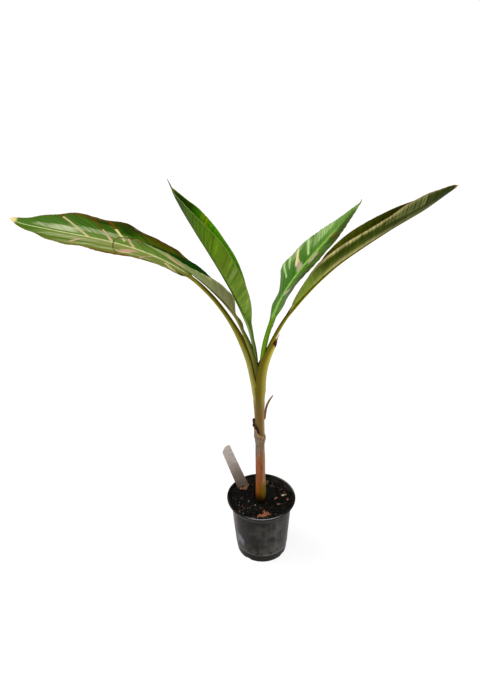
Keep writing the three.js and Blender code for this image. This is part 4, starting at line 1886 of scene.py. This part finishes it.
def outer_left() -> Blade:
    """The long left leaf, seen from above, with three pale streaks on its far half."""
    left, right = Half.LEFT, Half.RIGHT
    dull = ((0, tone(84, 104, 44)), (1, tone(96, 114, 54)))
    return Blade(
        "outer_left", ARCHES["outer_left"],
        ((-22, 2), (0, 4), (14, 27), (22, 31), (40, 30), (70, 42), (100, 45.5), (150, 40.5),
         (190, 34), (250, 17), (300, 3.5), (310, 0.4)),
        ((-22, 2), (0, 4), (5, 14), (18, 27), (45, 35), (84, 35), (130, 46), (162, 38.5),
         (190, 40.5), (235, 30), (280, 14), (300, 6.5), (310, 0.4)),
        (12.5, 17), ROLLS["outer_left"], (1.0, 0.0065),
        LeafColours(
            left=((0, tone(142, 144, 74)), (0.35, tone(124, 138, 62)), (0.75, tone(116, 130, 50)),
                  (1, tone(120, 92, 24))),
            right=((0, tone(104, 128, 50)), (0.2, tone(96, 124, 44)), (0.42, tone(56, 96, 4)),
                   (0.7, tone(48, 84, 0)), (0.88, tone(56, 62, 0)), (1, tone(84, 52, 6))),
            tip=tone(66, 106, 4), margin=tone(138, 92, 44), rib=tone(200, 208, 148),
            tip_from=0.35, blush=tone(206, 166, 138), pale=tone(206, 212, 166), contrast=1.25,
            dry=tone(244, 222, 160), dry_from=(0.95, 0.97),
        ),
        LeafColours(
            left=dull, right=dull,
            tip=tone(96, 110, 50), margin=tone(96, 76, 30), rib=tone(130, 136, 70),
        ),
        bow=(0.0, -26.0), base_fold=(12.0, 40.0), seed=11,
        flecks=(
            Fleck(right, Tint.CREAM, (164, 0.5), (221, 25), (8, 6), -1.5),
            Fleck(right, Tint.BRONZE, (216, 22), (232, 33), (8, 14), 0, 0.9),
            Fleck(right, Tint.BLUSH, (129, 3.5), (150, 18), (7, 4), 0, 0.85),
            Fleck(right, Tint.BRONZE, (148, 17), (183, 39), (5, 9)),
            Fleck(right, Tint.CREAM, (110, 8), (131, 24), (5, 6)),
            Fleck(right, Tint.BRONZE, (128, 22), (154, 41), (6, 10)),
            Fleck(right, Tint.BLUSH, (92, 2), (110, 16), (7, 4), 0, 0.8),
            # The next three pale flecks paint the glossy highlight band on the far half; the two dark
            # ones after them paint shade.
            Fleck(right, Tint.PALE, (216, 4), (208, 11), (70, 54), 0, 0.72),
            Fleck(right, Tint.PALE, (252, 5), (249, 9), (34, 26), 0, 0.5),
            Fleck(right, Tint.PALE, (150, 10), (150, 16), (120, 110), 0, 0.42),
            Fleck(right, Tint.DARK, (150, 30), (150, 34), (60, 80), 0, 0.7),
            Fleck(right, Tint.DARK, (112, 22), (118, 42), (30, 50), 0, 0.7),
            Fleck(right, Tint.BRONZE, (56, 20), (56, 38), (80, 90), 0, 0.48),
            Fleck(right, Tint.BRONZE, (205, 34), (205, 42), (80, 110), 0, 0.55),
            Fleck(right, Tint.BLUSH, (88, 36), (90, 40), (46, 60), 0, 0.45),
            Fleck(left, Tint.BLUSH, (87, 9), (98, 28), (17, 22), 3),
            Fleck(left, Tint.BLUSH, (173, 8), (180, 23), (4, 8), 0, 0.9),
            Fleck(left, Tint.BLUSH, (60, 4), (68, 34), (3, 4), 3, 0.8),
            Fleck(left, Tint.CREAM, (38, 8), (20, 27), (11, 15), 0, 0.95),
            Fleck(left, Tint.BRONZE, (12, 16), (17, 34), (16, 34)),
            Fleck(left, Tint.BRONZE, (96, 39), (96, 48), (150, 180), 0, 0.75),
            Fleck(left, Tint.PALE, (190, 6), (190, 14), (120, 130), 0, 0.4),
            Fleck(left, Tint.DARK, (170, 16), (170, 20), (170, 170), 0, 0.34),
            Fleck(left, Tint.PALE, (120, 23), (120, 29), (170, 170), 0, 0.42),
            Fleck(left, Tint.DARK, (90, 32), (90, 35), (120, 120), 0, 0.3),
        ),
    )


def inner_left() -> Blade:
    """The short left leaf below it, whose near half shows its grey underside."""
    left = Half.LEFT
    middle, dark = tone(40, 80, 16), tone(16, 64, 0)
    return Blade(
        "inner_left", ARCHES["inner_left"],
        ((-32, 2), (-12, 6.5), (0, 4.5), (10, 9), (40, 29), (70, 36), (94, 27), (110, 22),
         (136, 19), (162, 8), (178, 0.4)),
        ((-22, 2), (0, 3), (10, 14), (35, 21), (85, 20), (130, 12.5), (178, 0.4)),
        (32, 27), ROLLS["inner_left"], (0.8, 0.003),
        LeafColours(
            left=((0, middle), (1, dark)), right=((0, middle), (0.4, dark), (1, dark)),
            tip=tone(40, 72, 10), margin=tone(70, 50, 16), rib=tone(90, 120, 50),
        ),
        LeafColours(
            left=((0, tone(130, 134, 84)), (0.5, tone(118, 120, 74)), (0.9, tone(104, 102, 58)),
                  (1, tone(150, 160, 104))),
            right=((0, tone(110, 120, 70)), (1, tone(96, 106, 60))),
            tip=tone(140, 168, 84), margin=tone(120, 116, 70), rib=tone(122, 112, 50),
            tip_from=0.2, contrast=0.8, blush=tone(206, 160, 122),
        ),
        bow=(10.0, 10.0), seed=12, wave=0.8,
        flecks=(
            Fleck(left, Tint.BLUSH, (118, 4), (134, 12), (34, 30), 0, 0.8),
            Fleck(left, Tint.CREAM, (112, 1), (130, 6), (14, 10), 0, 0.6),
            Fleck(left, Tint.BRONZE, (-14, 3), (-14, 9), (18, 20), 0, 0.8),
            Fleck(left, Tint.PALE, (120, 24), (120, 32), (80, 90), 0, 0.6),
        ),
    )


def back_left() -> Blade:
    """The upright left leaf behind, folded nearly shut along its rib."""
    left, right = Half.LEFT, Half.RIGHT
    return Blade(
        "back_left", ARCHES["back_left"],
        ((-34, 2), (0, 7.5), (20, 16.5), (40, 24), (70, 32), (110, 37.5), (146, 33.5),
         (183, 24.5), (220, 11.5), (241, 0.4)),
        ((-22, 2), (0, 4), (20, 11.5), (70, 26), (100, 30), (130, 30.5), (175, 25.5),
         (205, 15.5), (232, 5), (241, 0.4)),
        (80.5, 63), ROLLS["back_left"], (0.36, 0.0006),
        LeafColours(
            left=((0, tone(40, 96, 6)), (1, tone(60, 120, 8))),
            right=((0, tone(30, 90, 0)), (0.6, tone(58, 130, 0)), (1, tone(84, 150, 4))),
            tip=tone(40, 76, 0), margin=tone(128, 150, 50), rib=tone(60, 100, 20),
            tip_from=0.5, pale=tone(150, 160, 8),
        ),
        LeafColours(
            left=((0, tone(66, 98, 4)), (0.2, tone(96, 132, 14)), (0.7, tone(108, 148, 26)),
                  (1, tone(98, 134, 22))),
            right=((0, tone(58, 88, 8)), (1, tone(84, 120, 22))),
            tip=tone(26, 56, 0), margin=tone(140, 156, 84), rib=tone(60, 84, 4),
            tip_from=0.4, base=tone(124, 156, 56), base_to=0.5, contrast=1.35,
        ),
        bow=(18.0, 0.0), seed=13, wave=0.9,
        flecks=(
            Fleck(left, Tint.DARK, (-8, 0), (-8, 14), (52, 52), 0, 0.6),
            Fleck(left, Tint.BRONZE, (88, 8), (100, 37), (14, 5), 0, 0.5),
            Fleck(left, Tint.BRONZE, (102, 2), (106, 14), (10, 6), 0, 0.4),
            Fleck(left, Tint.BRONZE, (74, 2), (82, 22), (8, 4), 0, 0.35),
            Fleck(left, Tint.PALE, (20, 6), (42, 24), (3, 4), 0, 0.4),
            Fleck(left, Tint.PALE, (70, 12), (78, 34), (8, 10), 0, 0.35),
            Fleck(right, Tint.PALE, (152, 12), (164, 28), (20, 26), 0, 0.45),
            Fleck(right, Tint.BRONZE, (138, 6), (150, 18), (20, 14), 0, 0.5),
            Fleck(right, Tint.DARK, (206, 2), (206, 24), (50, 60), 0, 0.75),
        ),
    )


def inner_right() -> Blade:
    """The short right leaf, seen from above, with pale streaks and a high shoulder."""
    left, right = Half.LEFT, Half.RIGHT
    dull = ((0, tone(84, 112, 40)), (1, tone(92, 120, 50)))
    return Blade(
        "inner_right", ARCHES["inner_right"],
        ((-30, 3), (-15, 6.5), (0, 8.5), (20, 18.5), (38, 22), (58, 43), (66, 53), (74, 55),
         (100, 45.5), (145, 28.5), (190, 10), (215, 0.4)),
        ((-25, 2), (-15, 5.5), (10, 7), (20, 10), (42, 23), (70, 31), (100, 27), (130, 24),
         (160, 17), (190, 8), (215, 0.4)),
        (-0.5, 15), ROLLS["inner_right"], (0.75, 0.0015),
        LeafColours(
            left=((0, tone(58, 104, 18)), (0.3, tone(58, 106, 22)), (0.7, tone(74, 116, 38)),
                  (1, tone(98, 134, 66))),
            right=((0, tone(80, 118, 24)), (0.5, tone(62, 92, 14)), (1, tone(52, 68, 6))),
            tip=tone(104, 142, 62), margin=tone(108, 92, 44), rib=tone(134, 178, 74),
            tip_from=0.35, contrast=1.15, blush=tone(178, 164, 136), pale=tone(178, 206, 136),
            base=tone(72, 116, 26), base_to=0.3,
        ),
        LeafColours(
            left=dull, right=dull,
            tip=tone(80, 104, 40), margin=tone(96, 76, 34), rib=tone(104, 140, 50),
        ),
        bow=(-10.0, 0.0), base_fold=(10.0, -28.0), base_reach=60.0, seed=14, ridge=0.3,
        rib_half=(5.0, 0.8),
        flecks=(
            Fleck(left, Tint.CREAM, (92, 18), (106, 38), (13, 8), 0, 0.8),
            Fleck(left, Tint.BLUSH, (90, 4), (95, 22), (17, 9), 0, 0.95),
            Fleck(left, Tint.PALE, (113, 10), (129, 33), (5, 7), 0, 1.0),
            Fleck(left, Tint.PALE, (67, 22), (77, 54), (3.5, 8), 0, 0.95),
            Fleck(left, Tint.PALE, (79, 28), (91, 46), (3.5, 6), 0, 0.75),
            Fleck(left, Tint.PALE, (148, 13), (156, 22), (3, 4), 0, 0.8),
            Fleck(left, Tint.PALE, (150, 12), (162, 26), (60, 90), 0, 0.5),
            Fleck(left, Tint.PALE, (104, 32), (112, 42), (30, 40), 0, 0.6),
            Fleck(right, Tint.BLUSH, (114, 3), (112, 9), (26, 20), 0, 0.9),
            Fleck(right, Tint.BLUSH, (50, 3), (62, 16), (8, 8), 0, 0.8),
            Fleck(right, Tint.BRONZE, (152, 2), (156, 10), (14, 10), 0, 0.7),
            Fleck(right, Tint.DARK, (168, 6), (168, 24), (84, 90), 0, 0.8),
            Fleck(right, Tint.DARK, (184, 0), (180, 12), (50, 70), 0, 0.75),
            Fleck(left, Tint.DARK, (188, 0), (188, 3), (44, 44), 0, 0.5),
            Fleck(right, Tint.DARK, (84, 16), (84, 30), (60, 70), 0, 0.4),
        ),
    )


def outer_right() -> Blade:
    """The long right leaf, folded into a trough, its near half seen from below."""
    left, right = Half.LEFT, Half.RIGHT
    return Blade(
        "outer_right", ARCHES["outer_right"],
        ((-22, 2), (0, 3.5), (40, 9), (70, 16), (100, 24), (145, 29), (190, 26.5), (235, 18.5),
         (265, 10.5), (294, 0.4)),
        ((-22, 2), (0, 3), (20, 10), (55, 20), (87, 29), (140, 29.5), (185, 28), (216, 34.5),
         (235, 34), (265, 22.5), (285, 11), (294, 0.4)),
        (80, 71.5), ROLLS["outer_right"], (0.45, 0.001),
        LeafColours(
            left=((0, tone(70, 90, 4)), (0.6, tone(90, 110, 10)), (1, tone(108, 114, 22))),
            right=((0, tone(30, 40, 2)), (1, tone(46, 56, 4))),
            tip=tone(46, 50, 4), margin=tone(104, 66, 30), rib=tone(60, 66, 16),
        ),
        LeafColours(
            left=((0, tone(76, 84, 20)), (1, tone(70, 76, 18))),
            # Near half's underside from keel to margin: the taupe band near the keel and the pale band
            # at the margin are painted sheen, and the dark olive middle is painted shade.
            right=((0, tone(126, 120, 4)), (0.1, tone(130, 122, 28)), (0.17, tone(182, 174, 114)),
                   (0.3, tone(158, 154, 90)), (0.44, tone(84, 94, 22)), (0.68, tone(52, 66, 2)),
                   (0.84, tone(66, 76, 10)), (0.92, tone(164, 164, 100)), (1, tone(206, 198, 142))),
            tip=tone(44, 56, 0), margin=tone(160, 122, 80), rib=tone(150, 144, 4),
            tip_from=0.5, base=tone(132, 154, 56), base_to=0.34, contrast=1.2,
        ),
        bow=(0.0, 52.0), seed=15, wave=0.7, rib_half=(4.4, 3.2),
        flecks=(
            Fleck(right, Tint.BRONZE, (82, 28), (86, 40), (34, 30), 0, 0.6),
            # The dark flecks below are painted shade, and the pale one is painted sheen near the tip.
            Fleck(right, Tint.DARK, (205, 3), (205, 16), (130, 130), 0, 0.6),
            Fleck(right, Tint.PALE, (208, 20), (218, 30), (80, 70), 0, 0.27),
            Fleck(right, Tint.BLUSH, (240, 31), (240, 37), (60, 80), 0, 0.35),
            Fleck(right, Tint.DARK, (60, 22), (62, 36), (50, 60), 0, 0.55),
            Fleck(left, Tint.DARK, (190, 8), (190, 30), (90, 120), 0, 0.4),
        ),
    )


def stalks() -> list[Stalk]:
    """The five petioles with their sheaths and ribs, and the cut-back sheath."""
    return [
        Stalk(
            "outer_left", ARCHES["outer_left"],
            StalkColours(
                tone(156, 156, 56), tone(140, 120, 30), tone(126, 116, 24), tone(172, 168, 92),
                tone(150, 156, 74), tone(152, 130, 80), wing_from=(0.4, 0.95),
            ),
            (0.3, 0.35, 0.2), (0.0, 130.0), ROLLS["outer_left"],
            ((0, 0), (0.15, 18), (0.8, 24), (1, 0)), 100.0,
            ((0, 4.9), (0.3, 4.5), (0.6, 3.7), (1, 2.9)), 0.95,
            gape=(78.0, 146.0, 112.0),
        ),
        Stalk(
            "inner_left", ARCHES["inner_left"],
            StalkColours(
                tone(140, 146, 66), tone(76, 72, 10), tone(64, 70, 8), tone(136, 132, 54),
                tone(104, 96, 34), tone(124, 110, 56),
            ),
            (-3.6, -0.7, 0.2), (0.0, 110.0), ROLLS["inner_left"],
            ((0, 0), (0.2, 16), (0.8, 16), (1, 0)), 20.0,
            ((0, 3.6), (0.5, 3.1), (1, 2.0)),
        ),
        Stalk(
            "back_left", ARCHES["back_left"],
            StalkColours(
                tone(164, 190, 104), tone(84, 120, 30), tone(72, 104, 22), tone(150, 170, 70),
                tone(64, 90, 6), wing_from=(0.45, 0.98),
            ),
            (-7.2, -1.4, 0.2), (0.0, 90.0), ROLLS["back_left"], below=20.0,
            girth=((0, 2.7), (0.5, 2.8), (1, 2.5)),
        ),
        Stalk(
            "inner_right", ARCHES["inner_right"],
            StalkColours(
                tone(74, 118, 0), tone(60, 100, 0), tone(114, 160, 12), tone(92, 128, 0),
                tone(92, 146, 32),
            ),
            (-7.4, -1.6, 0.2), (0.0, 90.0), ROLLS["inner_right"], below=20.0,
            girth=((0, 4.3), (0.5, 4.1), (1, 3.0)),
        ),
        Stalk(
            "outer_right", ARCHES["outer_right"],
            StalkColours(
                tone(156, 148, 8), tone(70, 72, 0), tone(84, 80, 0), tone(112, 104, 4),
                tone(196, 188, 10),
            ),
            (-3.8, -0.8, 0.2), (0.0, 100.0), ROLLS["outer_right"], below=20.0,
            girth=((0, 3.0), (0.5, 2.9), (1, 2.6)),
        ),
        Stalk(
            "stub", ARCHES["stub"],
            StalkColours(
                tone(232, 218, 84), tone(112, 102, 4), tone(92, 80, 0), tone(176, 162, 66),
                tone(168, 158, 52), tone(170, 150, 88), tone(60, 22, 6), (0.25, 0.74),
            ),
            (0.6, 0.65, -1.0), (20.0, 94.0), below=100.0,
            girth=((0, 3.8), (1, 3.1)), breadth=1.2, gape=(120.0, 150.0, 112.0),
            rib=False, wall=(0.9, 0.4), rows=200,
        ),
    ]


CHIPS = (
    Chip(0.5, -37, 17, 8, 6, 0.0, 1.8, 6),
    Chip(9, -30, 12, 6, -24, 0.02, 1.8, -10),
    Chip(4, -25, 6, 3.5, 35, 0.0, 1.2),
    Chip(-29, 25, 13, 5, 6, 0.12, 1.6, -6),
    Chip(-37, 36, 4, 3.5, 60, 0.1, 1.8),
    Chip(-24, 33, 10, 4.5, 4, 0.05, 2.0),
    Chip(-25, 29, 7, 3.2, -8, 0.3, 2.6, 6),
    Chip(-33, 31, 4, 3, 30, 0.2, 2.0),
    Chip(38, 12, 9, 3.6, 14, 0.9, 2.0, 4),
    Chip(24, 6, 6, 3, 40, 0.1, 1.2),
    Chip(28, -6, 5, 3, -30, 0.1, 1.2),
    Chip(43, 1, 4, 3, 80, 0.15, 1.6),
    Chip(10, 42, 7, 4, 25, 0.05, 1.4),
    Chip(-14, -42, 5, 3, 15, 0.05, 1.4),
    Chip(-6, 38, 6, 3, 70, 0.08, 1.4),
)


def dry_shreds() -> None:
    """The curled strip, the burnt shreds by the cuff and the leaves' thin tips."""
    brown = DeadTipFinish("dry_strip", tone(150, 108, 62), tone(92, 60, 30))
    strip = Thread(
        ((3.6, -1.6, 262), (4.0, -2.6, 276), (6.0, -3.2, 289), (9.6, -3.6, 299), (14.8, -4, 308.5)),
        1.7, ((0, 0.5), (0.15, 0.9), (0.6, 1.0), (0.85, 0.75), (1, 0.45)), 0.4,
    )
    place(strip.surface().make("dry_strip", [brown]), "dry_sheath", "dried_strip")
    burnt = DeadTipFinish("burnt_shred", tone(86, 62, 44), tone(36, 24, 16))
    shreds = Surface.join(
        [
            Thread(((-9.5, -2, 246), (-12.4, -3, 252), (-12.6, -3, 259), (-14.2, -3.4, 265.5)),
                   2.2, ((0, 0.4), (0.3, 1.0), (0.75, 0.55), (0.9, 0.8), (1, 0.3)), 0.5, 0.4).surface(),
            Thread(((-10.6, -5, 256), (-8.2, -7.4, 248), (-5.4, -8.6, 240), (-3.2, -8.4, 235)),
                   1.9, ((0, 0.3), (0.4, 1.0), (1, 0.3)), 0.4, 0.5, 19).surface(),
        ]
    )
    place(shreds.make("burnt_shreds", [burnt]), "dry_sheath")
    thin = DeadTipFinish("leaf_thread", tone(134, 124, 62), tone(88, 70, 28))
    green = DeadTipFinish("leaf_point", tone(120, 130, 70), tone(84, 96, 36))
    looped = Thread(
        ((-158, -28, 567), (-168, -32, 573.5), (-184, -35, 578.5), (-195, -36, 577.5),
         (-199, -37.5, 570), (-198, -38.5, 563), (-194, -39, 559.5)),
        1.5, ((0, 0.3), (0.12, 1.0), (0.35, 0.62), (1, 0.4)), 0.6, 0.2, 25,
    )
    place(looped.surface().make("tip_inner_left", [thin]), "leaf_blade")
    for name, path, radius in (
        ("back_left", ((-131, 130.5, 574), (-136, 139, 582), (-141.5, 140, 594.5)), 1.2),
        ("inner_right", ((127, 55, 584.5), (131.5, 58, 589), (133.5, 59, 594.5)), 1.1),
    ):
        point = Thread(path, radius, ((0, 0.5), (0.35, 1.0), (1, 0.25)), 0.6, 0.1, 31)
        place(point.surface().make(f"tip_{name}", [green]), "leaf_blade")


def main() -> None:
    """Builds the plant, its pot and the studio."""
    logging.basicConfig(level=logging.INFO, format="%(name)s %(message)s")
    stem = Stem()
    pot = Pot()
    pot.make()
    PottingMix(pot, chips=CHIPS).make()
    PlantLabel().make()
    Pseudostem(stem).make()
    Collar(stem).make()
    for stalk in stalks():
        slot = "old_sheath" if stalk.name == "stub" else "petiole"
        node = "sheath_stub" if stalk.name == "stub" else f"petiole_{stalk.name}"
        place(stalk.make(stem), slot, node)
    for blade in (outer_left(), inner_left(), back_left(), inner_right(), outer_right()):
        blade.make()
    dry_shreds()
    Studio().make()


if __name__ == "__main__":
    main()
